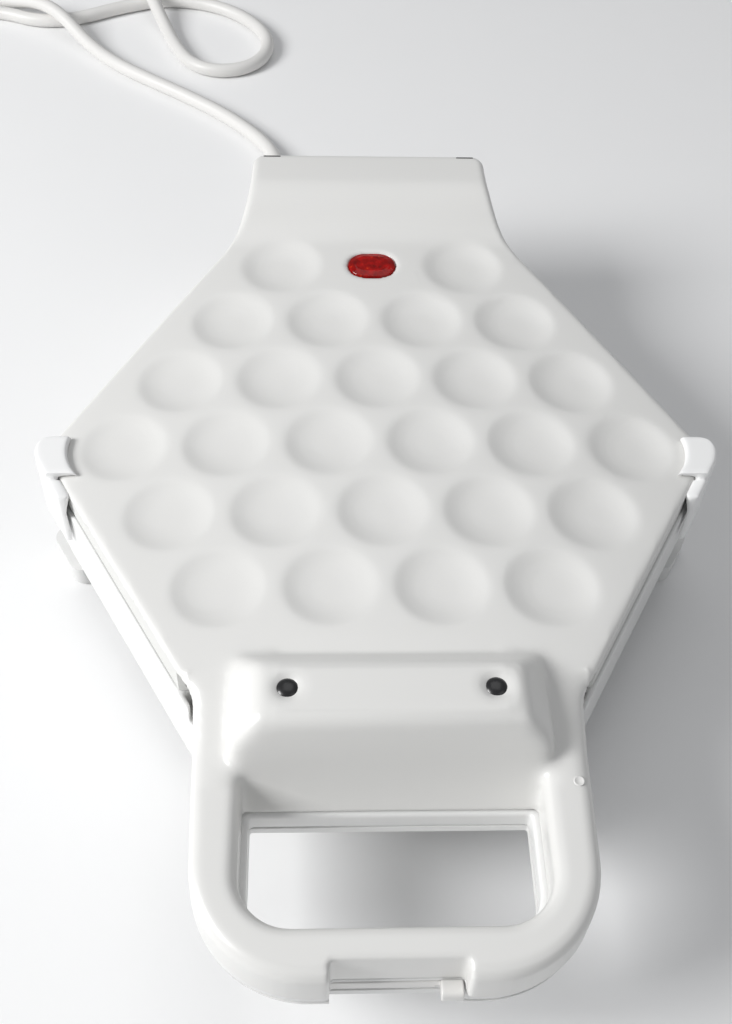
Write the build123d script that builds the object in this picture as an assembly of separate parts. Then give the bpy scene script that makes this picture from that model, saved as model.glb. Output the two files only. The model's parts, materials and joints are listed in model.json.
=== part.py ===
from build123d import *
import math
import os

# Plug-in maker for bite-size doughnut balls: a hexagonal base and lid that close on two cast
# plates with ball cavities, hinged at a narrow neck and gripped by a two-part loop handle.
# Everything is modelled about the middle of the cavity pattern, +Z up from the worktop and +Y
# towards the hinge, and moved at the end so that the origin is under the middle of the body.

# ---------------------------------------------------------------- cavity pattern and plates
PITCH = 40.0                # between neighbouring ball centres
BALL_RADIUS = 16.0
BALL_WALL = 2.0             # metal round each ball
PLATE_THICK = 3.0
PLATE_MARGIN = 20.4         # metal outline round the outermost ball centres
PLATE_WALL = 2.5            # upstanding wall round each plate
PLATE_DEPTH = 14.3          # from a plate's face to the back of its lip
LIP_REACH = 2.0             # lip of that wall, which the frame clamps
LIP_THICK = 2.0
PLATE_PARTING = 46.0
PLATE_GAP = 0.5             # air between the closed plates
PART_GAP = 0.3              # between neighbouring parts that don't touch
HEATER_RADIUS = 3.25
HEATER_DEPTH = 12.8         # from a plate's face to the middle of its heater
HEATER_BEND_R = 12.0
HEATER_SEAT = 0.05
RIB_WIDTH = 8.0

# ---------------------------------------------------------------- lid
CROWN_Z = 75.0              # height of the middle of the lid
CROWN_RADIUS = 1117.0       # the lid is crowned from side to side
SHEET = 3.0                 # plastic thickness of the lid's top
EDGE_ROUND = 2.4
APOTHEM = 114.3             # middle of the pattern to a side of the hexagon
HEX_CORNER_R = 14.0
NECK_HALF = 54.0
NECK_BACK = 172.0
NECK_CORNER_R = 7.0
NECK_BLEND_R = 110.0
DIMPLE_RADIUS = 17.0
DIMPLE_DEPTH = 3.0
DIMPLE_ROUND = 10.0         # rounding of the rim of each dimple
HUMP_RISE = 9.5             # the neck rises by this much over the hinge
HUMP_START = 110.0
HUMP_FOOT_Y = 126.0
HUMP_FOOT_R = 55.0
HUMP_CREST_Y = 154.0
NECK_SKIRT_Z = 64.0
NECK_ROUND = 3.0
OVERRUN = 20.0               # length by which a trimmed body runs past its cut
FRAME_INSET = 0.5           # the lid's inner frame stands back from the lid's edge
FRAME_WALL = 2.2
FRAME_LOW = 56.4

# ---------------------------------------------------------------- handle
HANDLE_HALF = 66.7
HANDLE_FRONT_HALF = 64.0
HANDLE_FRONT = -207.5
HANDLE_CORNER_R = 38.0
HANDLE_BLEND_R = 12.0
HANDLE_START = -104.0
HANDLE_PARTING = 50.2
HANDLE_GAP = 0.4
HANDLE_DECK = 2.5
RAIL_Z = 68.3
RAIL_RAMP_END = -132.0
RAIL_ROUND = 4.5
WALL = 2.5
OPENING_HALF = 49.5
OPENING_FRONT = -190.4
OPENING_CORNER_R = 17.0
PLATFORM_RISE = 11.5
PLATFORM_HALF = 43.8
PLATFORM_FOOT_HALF = 54.0
PLATFORM_BACK = -107.2
PLATFORM_FOOT_BACK = -98.5
PLATFORM_FRONT = -130.0
WELL_FOOT_Y = -146.0
PLATFORM_ROUND = 4.0
NOTCH_HALF = 21.0
NOTCH_DEPTH = 6.3

# ---------------------------------------------------------------- base
BASE_PROUD = 1.0            # the base stands this much outside the lid
BASE_TOP = 56.0
BASE_BOTTOM = 21.0
BASE_BACK = 156.5
TRAY_FRONT = -121.0
TRAY_CORNER_R = 6.0
SHELF_THICK = 2.0
COVER_INSET = 1.5
COVER_BOTTOM = 10.5
COVER_SEAM = 0.3
LOWER_HANDLE_SHY = 3.5      # the lower handle's front stands this far behind the lid's
LOWER_HANDLE_BOTTOM = 41.0
HANDLE_PAN_BOTTOM = 37.5
PAN_ROUND = 3.0
FOOT_LENGTH = 26.0
FOOT_WIDTH = 12.0
BOSS_R = 4.0

# ---------------------------------------------------------------- hinge, latch, guides, lamp
HINGE_Y = 165.0
HINGE_Z = 58.0
KNUCKLE_R = 6.5
PIN_R = 2.5
PIN_RUNNING = 0.05
BASE_EAR_X = 36.0
BASE_EAR_WIDTH = 8.0
LID_EAR_WIDTH = 6.0
EAR_GAP = 0.4
LATCH_TRAVEL = 8.0
LATCH_THICK = 3.0
LATCH_LOW = 42.0
LATCH_HIGH = 47.2
LATCH_HALF = 40.0
HOOK_WIDTH = 4.0
HOOK_REACH = 4.0            # the nose of a hook, over the lid's deck when it is locked
HOOK_RIGHT_X = 36.0
HOOK_LEFT_X = -28.0
HOOK_TOP = 56.0
HOOK_CLEAR = 0.5            # air between a hook and the ends of its slot
TAB_X = 13.5
TAB_WIDTH = 7.0
TAB_REACH = 5.5
TAB_TOP = 50.0
GUIDE_PROUD = 4.4
GUIDE_GAP = 1.0
GUIDE_TOP = 71.5
GUIDE_FOOT = 41.0
GUIDE_BACK = 5.7
GUIDE_FRONT = -14.3
POST_FRONT = -24.0
GUIDE_ARC_R = 21.5
LENS_LENGTH = 20.8
LENS_WIDTH = 15.4
LENS_PROUD = 0.6
LENS_FLANGE = 2.0
BULB_R = 3.0
HOLDER_DEPTH = 12.0
HOLDER_WALL = 2.0

# ---------------------------------------------------------------- fastenings
SCREW_R = 1.75
SCREW_BORE = 1.8
SCREW_HOLE = 2.1
SCREW_HEAD_R = 3.3
SCREW_HEAD = 2.2
CROSS_WIDTH = 1.0           # recess in each screw head
CROSS_REACH = 2.0
CROSS_DEPTH = 0.8
SEAT_RING_R = 5.2           # shallow ring round each screw on the platform
PLATFORM_SCREW_X = 34.3
PLATFORM_SCREW_Y = -118.2
PLATFORM_SEAT = 1.5
NECK_SCREW_X = 28.0
NECK_SCREW_Y = 146.0
COVER_SCREWS = ((104.0, 34.0), (88.0, -58.0))
HANDLE_SCREW_X = 57.5
HANDLE_SCREW_Y = -150.0
FRAME_SCREW_X = 40.0
FRAME_SCREW_Y = -108.0
REFLECTOR_DEPTH = 18.55     # from a plate's face to the near side of its reflector
REFLECTOR_THICK = 0.6
REFLECTOR_HALF = 82.0
POST_R = 3.8

# ---------------------------------------------------------------- mains lead
CORD_RADIUS = 4.0
CORD_EXIT_X = -41.0
CORD_EXIT_Z = 30.0
CORD_INNER_Y = 150.0
CORD_HUMP = 12.6            # height of the cord's middle where it crosses over itself
RELIEF_LENGTH = 34.0
RELIEF_ROOT_R = 7.0
RELIEF_TIP_R = 5.2
RELIEF_NECK_R = 5.0
RELIEF_COLLAR_R = 5.9
LEAD_R = 1.2
CORE_APART = 1.7            # from the cord's middle to each of its cores
TERMINAL_X = -20.0
TERMINAL_Y = 134.0
TERMINAL_WIDTH = 24.0
TERMINAL_DEPTH = 12.0
TERMINAL_HEIGHT = 10.0
TERMINAL_WAY = 6.0          # from the block's middle to each of its ways
PLUG_R = 18.5
PLUG_LENGTH = 47.0
PLUG_PIN_R = 2.4
PLUG_PIN_LENGTH = 19.0
PLUG_PIN_X = 9.5

COS30 = math.cos(math.radians(30))
SIN30 = 0.5
ROW_PITCH = PITCH * COS30
HIGH = 200.0                # taller than the whole appliance, for cutting tools
LONG = 900.0                # longer than the whole appliance
SHIFT_Y = -(HANDLE_FRONT + NECK_BACK) / 2
LAMP_Y = 3 * ROW_PITCH
SADDLE = PITCH / (2 * COS30)        # from a ball's centre to the point between three balls
UPPER_FACE = PLATE_PARTING + PLATE_GAP / 2
LOWER_FACE = PLATE_PARTING - PLATE_GAP / 2
LIP_SEAT = UPPER_FACE + PLATE_DEPTH - LIP_THICK
SHELF_Z = LOWER_FACE - PLATE_DEPTH
DECK_LOW = HANDLE_PARTING + HANDLE_GAP / 2
DECK_TOP = HANDLE_PARTING - HANDLE_GAP / 2
NOTCH_FACE = HANDLE_FRONT + NOTCH_DEPTH
LOWER_OPENING_IN = 2.0              # the lower handle's opening is this much smaller
LOWER_OPENING_BACK = WELL_FOOT_Y - 0.6
LOWER_FRONT = HANDLE_FRONT + LOWER_HANDLE_SHY
POST_PLACES = (
    (-PITCH, SADDLE / 2), (PITCH, SADDLE / 2), (-PITCH / 2, -SADDLE), (PITCH / 2, -SADDLE),
)


# ---------------------------------------------------------------- outlines
def corner_arc(before, corner, after, radius):
    """Start, middle and end of the arc that rounds one corner of an outline."""
    here = Vector(*corner)
    to_before = (Vector(*before) - here).normalized()
    to_after = (Vector(*after) - here).normalized()
    half = math.radians(to_before.get_angle(to_after)) / 2
    reach = radius / math.tan(half)
    inward = (to_before + to_after).normalized()
    middle = here + inward * (radius / math.sin(half) - radius)
    return here + to_before * reach, middle, here + to_after * reach


def rounded_face(corners):
    """Flat face from (x, y, radius) corners, each rounded by its own radius."""
    count = len(corners)
    arcs = [
        corner_arc(corners[i - 1][:2], corners[i][:2], corners[(i + 1) % count][:2], corners[i][2])
        for i in range(count)
    ]
    edges = []
    for i, (start, middle, end) in enumerate(arcs):
        edges.append(ThreePointArc(start, middle, end))
        following = arcs[(i + 1) % count][0]
        if (following - end).length > 1e-6:
            edges.append(Line(end, following))
    return make_face(Wire(edges)).face()


def mirrored(right):
    """Outline corners for both sides from the corners of the right side, back to front."""
    return right + [(-x, y, r) for x, y, r in reversed(right)]


def side_y(x, grow):
    """Where the hexagon's slanted side crosses a line at x."""
    return (APOTHEM + grow - COS30 * x) / SIN30


def lid_plan(grow=0.0):
    """The lid's outline with neck and handle, moved outwards by grow."""
    neck, grip = NECK_HALF + grow, HANDLE_HALF + grow
    return rounded_face(mirrored([
        (neck, NECK_BACK + grow, NECK_CORNER_R + grow),
        (neck, side_y(neck, grow), NECK_BLEND_R - grow),
        ((APOTHEM + grow) / COS30, 0, HEX_CORNER_R + grow),
        (grip, -side_y(grip, grow), HANDLE_BLEND_R - grow),
        (HANDLE_FRONT_HALF + grow, HANDLE_FRONT - grow, HANDLE_CORNER_R + grow),
    ]))


def tray_plan(grow=0.0):
    """The base's hexagon and neck without the handle, moved outwards by grow."""
    neck, grip = NECK_HALF + grow, HANDLE_HALF + grow
    outline = rounded_face(mirrored([
        (neck, NECK_BACK + grow, NECK_CORNER_R + grow),
        (neck, side_y(neck, grow), NECK_BLEND_R - grow),
        ((APOTHEM + grow) / COS30, 0, HEX_CORNER_R + grow),
        (grip, -side_y(grip, grow), TRAY_CORNER_R - grow),
        (grip, TRAY_FRONT - grow, TRAY_CORNER_R + grow),
    ]))
    back = BASE_BACK - BASE_PROUD + grow
    return (outline & Pos(0, back - LONG) * Rectangle(2 * LONG, 2 * LONG)).face()


def opening_plan(grow=0.0, back=HANDLE_START):
    """The hand opening of the handle, from the given back edge."""
    half = OPENING_HALF + grow
    return rounded_face(mirrored([
        (half, back, 1.0),
        (half, OPENING_FRONT - grow, OPENING_CORNER_R + grow),
    ]))


def plate_plan(grow=0.0):
    """Outline of a plate: equally far outside the outermost ball centres all round."""
    back, side, front = (PITCH, 3 * ROW_PITCH), (2.5 * PITCH, 0), (1.5 * PITCH, -2 * ROW_PITCH)
    right = [back, side, front]
    left = [(-x, y) for x, y in reversed(right)]
    hull = make_face(Polyline(*right, *left, close=True))
    return offset(hull, PLATE_MARGIN + grow, kind=Kind.ARC)


def slab(face, low, high):
    """Upright prism of a flat outline between two heights."""
    return Pos(0, 0, low) * extrude(face, high - low, dir=(0, 0, 1))


def block(x0, x1, y0, y1, z0, z1):
    """Box between two corners."""
    middle = Pos((x0 + x1) / 2, (y0 + y1) / 2, (z0 + z1) / 2)
    return middle * Box(x1 - x0, y1 - y0, z1 - z0)


def swell(core, radius):
    """A core grown by a rolling ball, which leaves all its outer edges round."""
    return offset(core, radius, kind=Kind.ARC)


def post(x, y, low, high, radius):
    """Upright cylinder."""
    return Pos(x, y, (low + high) / 2) * Cylinder(radius, high - low)


def ball_centres():
    """Middles of the ball cavities: six rows, with the lamp in the middle of the back row."""
    places = []
    for row, balls in ((3, 3), (2, 4), (1, 5), (0, 6), (-1, 5), (-2, 4)):
        for i in range(balls):
            x = (i - (balls - 1) / 2) * PITCH
            if (row, x) != (3, 0.0):
                places.append((x, row * ROW_PITCH))
    return places


def crown(drop=0.0):
    """Everything below the lid's crowned surface, lowered by drop."""
    barrel = Cylinder(CROWN_RADIUS - drop, LONG, rotation=(90, 0, 0))
    return Pos(0, 0, CROWN_Z - CROWN_RADIUS) * barrel


def screw(x, y, seat, head_side, tip, head=SCREW_HEAD):
    """Upright pan-head screw: its head sits at seat, on the side of head_side away from tip."""
    way = 1 if head_side > tip else -1
    far = seat + way * head
    body = post(x, y, *sorted((seat, tip)), SCREW_R) + post(x, y, *sorted((seat, far)), SCREW_HEAD_R)
    low, high = sorted((far - way * CROSS_DEPTH, far + way))
    half = CROSS_WIDTH / 2
    body -= block(x - CROSS_REACH, x + CROSS_REACH, y - half, y + half, low, high)
    return body - block(x - half, x + half, y - CROSS_REACH, y + CROSS_REACH, low, high)


def side_profile(corners, half_width):
    """Solid with an outline in the YZ plane, as wide as twice half_width."""
    face = Plane.YZ * rounded_face(corners)
    return extrude(face, half_width, both=True)


# ---------------------------------------------------------------- plates and heaters
def heater_route(z):
    """Hexagonal loop between the rows of balls, open at the back beside the lamp."""
    reach = 2 * ROW_PITCH
    end_x = reach / COS30 - 3 * ROW_PITCH * math.tan(math.radians(30))
    side_x = reach / COS30
    front_y = -1.5 * ROW_PITCH
    front_x = (reach + SIN30 * front_y) / COS30
    points = [(-end_x, 3 * ROW_PITCH), (-side_x, 0), (-front_x, front_y),
              (front_x, front_y), (side_x, 0), (end_x, 3 * ROW_PITCH)]
    return FilletPolyline(*[(x, y, z) for x, y in points], radius=HEATER_BEND_R)


def swept_ring(route, section_face):
    """Section carried along a route from the route's own start."""
    start = Plane(origin=route @ 0, z_dir=route % 0, x_dir=(0, 0, 1))
    return sweep(start * section_face, path=route)


def make_plate():
    """Plate with its face at z = 0 and its back above it: skin, balls, wall, lip and heater rib."""
    body = slab(plate_plan(), 0, PLATE_THICK)
    wall = slab(plate_plan(), 0, PLATE_DEPTH) - slab(plate_plan(-PLATE_WALL), -1, PLATE_DEPTH + 1)
    lip = slab(plate_plan(LIP_REACH), PLATE_DEPTH - LIP_THICK, PLATE_DEPTH)
    lip -= slab(plate_plan(-PLATE_WALL), 0, PLATE_DEPTH + 1)
    above = block(-LONG, LONG, -LONG, LONG, 0, HIGH)
    bulges = [Pos(x, y, 0) * Sphere(BALL_RADIUS + BALL_WALL) & above for x, y in ball_centres()]
    rib = swept_ring(heater_route(HEATER_DEPTH / 2), Rectangle(HEATER_DEPTH, RIB_WIDTH))
    posts = [post(x, y, 0, REFLECTOR_DEPTH, POST_R) for x, y in POST_PLACES]
    body = body + [wall, lip, rib] + bulges + posts
    hollows = [Pos(x, y, 0) * Sphere(BALL_RADIUS) for x, y in ball_centres()]
    groove = swept_ring(heater_route(HEATER_DEPTH), Circle(HEATER_RADIUS + HEATER_SEAT))
    bores = [post(x, y, PLATE_THICK, HIGH, SCREW_BORE) for x, y in POST_PLACES]
    return body - hollows - groove - bores


def make_heater():
    """Tubular heater that lies in the plate's rib, with a terminal pin at each end."""
    route = heater_route(HEATER_DEPTH)
    tube = swept_ring(route, Circle(HEATER_RADIUS))
    for end, way in ((route @ 0, -(route % 0)), (route @ 1, route % 1)):
        pin = Plane(origin=end, z_dir=way) * Pos(0, 0, 4) * Cylinder(1.25, 10)
        tube += pin
    return tube


def make_reflector():
    """Bright sheet behind a plate that faces z = 0, open round the lamp at its back."""
    near = REFLECTOR_DEPTH
    sheet = slab(plate_plan(-16.0), near, near + REFLECTOR_THICK)
    sheet &= block(-REFLECTOR_HALF, REFLECTOR_HALF, -LONG, LONG, 0, HIGH)
    sheet -= block(-16, 16, LAMP_Y - 12, LONG, 0, HIGH)
    return sheet - [post(x, y, 0, HIGH, SCREW_HOLE) for x, y in POST_PLACES]


def make_reflector_screws():
    """Screws that hold a reflector to the posts of its plate."""
    seat = REFLECTOR_DEPTH + REFLECTOR_THICK
    return [screw(x, y, seat, seat + 7.0, seat - 7.0) for x, y in POST_PLACES]


# ---------------------------------------------------------------- lid
def dimple_ball(x, y, extra=0.0):
    """Ball that presses one dimple into the crowned top; extra makes it larger all round."""
    ball = (DIMPLE_RADIUS ** 2 + DIMPLE_DEPTH ** 2) / (2 * DIMPLE_DEPTH)
    tilt = x / CROWN_RADIUS
    reach = CROWN_RADIUS + ball - DIMPLE_DEPTH
    centre = (reach * math.sin(tilt), y, CROWN_Z - CROWN_RADIUS + reach * math.cos(tilt))
    return Pos(*centre) * Sphere(ball + extra)


def hump_solid(drop):
    """Neck block under the raised profile over the hinge, drawn in by drop."""
    top, back, low = CROWN_Z + HUMP_RISE - drop, NECK_BACK - drop, CROWN_Z - 1.6 - drop / 2
    profile = side_profile([
        (HUMP_START - drop, 0, 0.5),
        (HUMP_START - drop, low, 0.5),
        (HUMP_FOOT_Y, low, HUMP_FOOT_R),
        (HUMP_CREST_Y, top, 14.0),
        (back - 5, top, 3.0),
        (back, top - 8, 4.0),
        (back, 0, 0.5),
    ], NECK_HALF + 30)
    return slab(lid_plan(-drop), 0, HIGH) & profile


def grip_plan(grow=0.0, back=HANDLE_START, front=HANDLE_FRONT):
    """Outline of the handle alone, from the given back edge to its round front corners."""
    return rounded_face(mirrored([
        (HANDLE_HALF + grow, back, 0.2),
        (HANDLE_FRONT_HALF + grow, front - grow, HANDLE_CORNER_R + grow),
    ]))


def lower_grip(grow=0.0, back=HANDLE_START):
    """Outline of the lower handle, whose front stands behind the lid's."""
    return grip_plan(BASE_PROUD + grow, back, LOWER_FRONT)


def handle_top(drop, back=HANDLE_START):
    """Everything below the handle's sloping top, lowered by drop, from the given back edge."""
    start_z = CROWN_Z - 1.6 - drop
    slope = (start_z - RAIL_Z + drop) / (HANDLE_START - RAIL_RAMP_END)
    return side_profile([
        (back, 0, 0.5),
        (back, start_z + slope * (back - HANDLE_START), 0.5),
        (RAIL_RAMP_END, RAIL_Z - drop, 40.0),
        (HANDLE_FRONT - 10, RAIL_Z - drop, 0.5),
        (HANDLE_FRONT - 10, 0, 0.5),
    ], HANDLE_HALF + 30)


def rail_loop():
    """The handle's loop with its upper edges rounded, and the blend from it into the lid."""
    back = HANDLE_START + OVERRUN
    core = slab(lid_plan(-RAIL_ROUND), DECK_LOW - OVERRUN, HIGH) & handle_top(RAIL_ROUND, back)
    core -= slab(opening_plan(RAIL_ROUND, back + OVERRUN), 0, HIGH)
    loop = swell(core, RAIL_ROUND)
    return loop & block(-LONG, LONG, -LONG, HANDLE_START, DECK_LOW, HIGH)


def neck_block():
    """Neck with its rounded hump over the hinge, down to the skirt."""
    top, back = CROWN_Z + HUMP_RISE - NECK_ROUND, NECK_BACK - NECK_ROUND
    low = CROWN_Z - 1.6 - NECK_ROUND
    profile = side_profile([
        (HUMP_START + NECK_ROUND, 0, 0.5),
        (HUMP_START + NECK_ROUND, low, 0.5),
        (HUMP_FOOT_Y, low, HUMP_FOOT_R),
        (HUMP_CREST_Y, top, 14.0),
        (back, top, 0.5),
        (back, 0, 0.5),
    ], NECK_HALF + 30)
    whole = swell(slab(lid_plan(-NECK_ROUND), 0, HIGH) & profile, NECK_ROUND)
    return whole - block(-LONG, LONG, -LONG, LONG, -LONG, NECK_SKIRT_Z)


def ridge_solid(drop):
    """Raised screw platform with the slope that falls from it into the hand opening."""
    top = CROWN_Z + PLATFORM_RISE
    lengthwise = side_profile([
        (PLATFORM_FOOT_BACK - drop, 0, 0.5),
        (PLATFORM_FOOT_BACK - drop, CROWN_Z - 2, 0.5),
        (PLATFORM_BACK - drop, top - drop, 3.0),
        (PLATFORM_FRONT + drop / 2, top - drop, 3.0),
        (WELL_FOOT_Y + drop, HANDLE_PARTING, 0.5),
        (WELL_FOOT_Y + drop, 0, 0.2),
    ], LONG / 4)
    across = Plane.XZ * rounded_face([
        (PLATFORM_FOOT_HALF - drop, 0, 0.5),
        (PLATFORM_FOOT_HALF - drop, CROWN_Z - 2, 2.0),
        (PLATFORM_HALF - drop / 2, top - drop, 3.0),
        (drop / 2 - PLATFORM_HALF, top - drop, 3.0),
        (drop - PLATFORM_FOOT_HALF, CROWN_Z - 2, 2.0),
        (drop - PLATFORM_FOOT_HALF, 0, 0.5),
    ])
    return lengthwise & extrude(across, LONG / 2, both=True)


def notch(depth, low, grow=0.0):
    """Block of air in the front of the handle, where the latch is worked."""
    return block(-NOTCH_HALF - grow, NOTCH_HALF + grow, HANDLE_FRONT - 20,
                 HANDLE_FRONT + depth + grow, low, HIGH)


def stadium(length, width, low, high):
    """Upright prism with two round ends, across the appliance."""
    return slab(SlotOverall(length, width), low, high)


def lid_ear():
    """Right hinge knuckle that hangs from the lid's neck, bored for the pin."""
    x0 = BASE_EAR_X + BASE_EAR_WIDTH + EAR_GAP
    middle = Pos(x0 + LID_EAR_WIDTH / 2, HINGE_Y, HINGE_Z)
    disc = middle * Cylinder(KNUCKLE_R, LID_EAR_WIDTH, rotation=(0, 90, 0))
    arm = block(x0, x0 + LID_EAR_WIDTH, HINGE_Y - 5, HINGE_Y + 5, HINGE_Z, CROWN_Z + HUMP_RISE)
    bore = middle * Cylinder(PIN_R + PIN_RUNNING, 3 * LID_EAR_WIDTH, rotation=(0, 90, 0))
    return disc + (arm & hump_solid(1.0)) - bore


def lid_pads():
    """Pads under the lid's sheet that press the upper plate onto its frame."""
    side = APOTHEM - 7.2
    places = [(x, LAMP_Y + PLATE_MARGIN) for x in (-30.0, 30.0)]
    places += [(x, -2 * ROW_PITCH - PLATE_MARGIN) for x in (-30.0, 30.0)]
    places += [(sx * side * COS30, sy * side * SIN30) for sx in (-1, 1) for sy in (-1, 1)]
    pads = [post(x, y, UPPER_FACE + PLATE_DEPTH, HIGH, 2.5) & crown(1.0) for x, y in places]
    return pads


def dimpled_sheet(dimples):
    """The lid's top sheet behind the handle, thick under its round-rimmed dimples."""
    top = swell(slab(lid_plan(-EDGE_ROUND), CROWN_Z - 30, HIGH) & crown(EDGE_ROUND), EDGE_ROUND)
    sheet = top - crown(SHEET) - block(-LONG, LONG, -LONG, HANDLE_START, 0, HIGH)
    sheet = sheet + [lens for lens, ball in dimples] - [ball for lens, ball in dimples]
    rim_length = 2 * math.pi * DIMPLE_RADIUS
    rims = [edge for edge in sheet.edges() if abs(edge.length - rim_length) < 2
            and edge.bounding_box().min.Z > CROWN_Z - 3 * SHEET]
    return fillet(rims, DIMPLE_ROUND)


def make_lid_shell():
    """White upper casing: crowned top with dimples, neck hump, platform, rails and knuckles."""
    above = crown() & block(-LONG, LONG, -LONG, LONG, CROWN_Z - 20, HIGH)
    dimples = [(dimple_ball(x, y, SHEET) & above, dimple_ball(x, y)) for x, y in ball_centres()]
    last_row = [pair for (x, y), pair in zip(ball_centres(), dimples) if y > 2.5 * ROW_PITCH]

    walls = slab(opening_plan(WALL), 0, HIGH)
    hole = slab(opening_plan(), 0, HIGH)
    loop = rail_loop()
    grip = loop & slab(grip_plan(), 0, HIGH)
    blend = loop - handle_top(SHEET) - block(-LONG, LONG, -LONG, RAIL_RAMP_END, 0, HIGH)
    grip_air = slab(grip_plan(-WALL), 0, HIGH) & handle_top(WALL)
    grip_air -= walls + notch(NOTCH_DEPTH, 0, WALL)
    ridge = swell(ridge_solid(PLATFORM_ROUND), PLATFORM_ROUND)
    raised = ridge - block(-LONG, LONG, HANDLE_START, LONG, -LONG, CROWN_Z - SHEET - 1)
    raised -= block(-LONG, LONG, -LONG, LONG, -LONG, DECK_LOW)

    shell = dimpled_sheet(dimples) + [neck_block(), grip, raised, blend]
    shell = shell - hump_solid(WALL) - grip_air - ridge_solid(WALL)
    shell = shell + (grip & (walls - hole)) + [lens - ball for lens, ball in last_row]
    shell = shell - (hole - ridge) - notch(NOTCH_DEPTH, 0)
    shell -= [ball for lens, ball in last_row]
    shell -= Pos(0, LAMP_Y, 0) * stadium(LENS_LENGTH + 0.2, LENS_WIDTH + 0.2, 0, HIGH)
    platform = CROWN_Z + PLATFORM_RISE
    for x in (-PLATFORM_SCREW_X, PLATFORM_SCREW_X):
        shell -= post(x, PLATFORM_SCREW_Y, CROWN_Z, HIGH, SCREW_HOLE)
        shell -= post(x, PLATFORM_SCREW_Y, platform - PLATFORM_SEAT, HIGH, SCREW_HEAD_R + 0.2)
        shell -= post(x, PLATFORM_SCREW_Y, platform - 0.4, HIGH, SEAT_RING_R)
    for x in (-NECK_SCREW_X, NECK_SCREW_X):
        shell += post(x, NECK_SCREW_Y, LIP_SEAT, HIGH, BOSS_R) & hump_solid(1.0)
        shell -= post(x, NECK_SCREW_Y, 0, LIP_SEAT + 12, SCREW_BORE)
    ear = lid_ear()
    return shell + [ear, mirror(ear, Plane.YZ)] + lid_pads()


def latch_slots(low, high):
    """The two slots through which the latch hooks rise."""
    middle = NOTCH_FACE + LATCH_THICK / 2
    slots = []
    for x in (HOOK_RIGHT_X, HOOK_LEFT_X):
        inner, outer = x - LATCH_TRAVEL - HOOK_CLEAR, x + HOOK_WIDTH + HOOK_CLEAR
        if x < 0:
            inner, outer = x - HOOK_REACH - LATCH_TRAVEL / 2 - HOOK_CLEAR, x + HOOK_WIDTH + HOOK_CLEAR
        slots.append(block(inner, outer, middle - 2.5, middle + 2.5, low, high))
    return slots


def make_lid_frame():
    """Inner frame of the lid: wall and flange round the plate, and the handle's underside."""
    wall = slab(lid_plan(-FRAME_INSET), FRAME_LOW, HIGH) & crown(SHEET)
    wall -= slab(lid_plan(-FRAME_INSET - FRAME_WALL), 0, HIGH)
    flange = slab(lid_plan(-FRAME_INSET), FRAME_LOW, LIP_SEAT)
    ring = wall + flange - slab(plate_plan(PART_GAP), 0, HIGH)
    ring -= slab(plate_plan(LIP_REACH + PART_GAP), LIP_SEAT, HIGH)
    ring -= block(-LONG, LONG, -LONG, HANDLE_START + WALL, 0, HIGH)
    ring -= block(-LONG, LONG, HINGE_Y - 16, LONG, 0, HIGH)
    ring -= block(-LONG, LONG, HUMP_START - PART_GAP, LONG, NECK_SKIRT_Z - PART_GAP, HIGH)

    step_half = HANDLE_HALF - WALL - PART_GAP
    step = block(-step_half, step_half, HANDLE_START, HANDLE_START + WALL, DECK_LOW, LIP_SEAT)
    deck = slab(grip_plan(-WALL - PART_GAP), DECK_LOW, DECK_LOW + HANDLE_DECK)
    under_platform = OPENING_HALF - 1.2
    deck -= slab(opening_plan(WALL + PART_GAP), 0, HIGH)
    deck += block(-under_platform, under_platform, WELL_FOOT_Y + 5, HANDLE_START,
                  DECK_LOW, DECK_LOW + HANDLE_DECK)
    deck -= notch(NOTCH_DEPTH, 0, WALL + PART_GAP)
    body = ring + [step, deck]
    body = body - latch_slots(0, HIGH)
    platform = CROWN_Z + PLATFORM_RISE
    for x in (-PLATFORM_SCREW_X, PLATFORM_SCREW_X):
        body += post(x, PLATFORM_SCREW_Y, DECK_LOW, platform - WALL, BOSS_R) & ridge_solid(WALL)
        body -= post(x, PLATFORM_SCREW_Y, CROWN_Z - 8, HIGH, SCREW_BORE)
    for x in (-NECK_SCREW_X, NECK_SCREW_X):
        body -= post(x, NECK_SCREW_Y, 0, HIGH, SCREW_HOLE)
    return body


def make_platform_screws():
    """The two black screws in the platform."""
    seat = CROWN_Z + PLATFORM_RISE - PLATFORM_SEAT
    return [screw(x, PLATFORM_SCREW_Y, seat, HIGH, seat - 13, PLATFORM_SEAT - 0.3)
            for x in (-PLATFORM_SCREW_X, PLATFORM_SCREW_X)]


def make_neck_screws():
    """Screws from below that hold the frame to the neck's bosses."""
    return [screw(x, NECK_SCREW_Y, FRAME_LOW, 0, LIP_SEAT + 10)
            for x in (-NECK_SCREW_X, NECK_SCREW_X)]


def make_guide():
    """Right corner guide: a cap on the lid's corner with a post that hangs outside the base."""
    reach = (APOTHEM + GUIDE_PROUD) / COS30
    cap = slab(lid_plan(GUIDE_PROUD), BASE_TOP + 4, GUIDE_TOP)
    cap &= block(2.5 * PITCH, reach, GUIDE_FRONT, GUIDE_BACK, 0, HIGH)
    cap -= post(2.5 * PITCH, 0, 0, HIGH, GUIDE_ARC_R)
    cap = fillet(cap.faces().sort_by(Axis.Z)[-1].outer_wire().edges(), 1.2)
    cap -= slab(lid_plan(), 0, HIGH) & crown()
    cap -= slab(lid_plan(BASE_PROUD + GUIDE_GAP), 0, CROWN_Z - 14)
    band = slab(lid_plan(GUIDE_PROUD), GUIDE_FOOT, GUIDE_TOP - 6)
    band -= slab(lid_plan(BASE_PROUD + GUIDE_GAP), 0, HIGH)
    band &= block(PITCH, reach, POST_FRONT, 2, 0, HIGH)
    return cap + band


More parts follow.
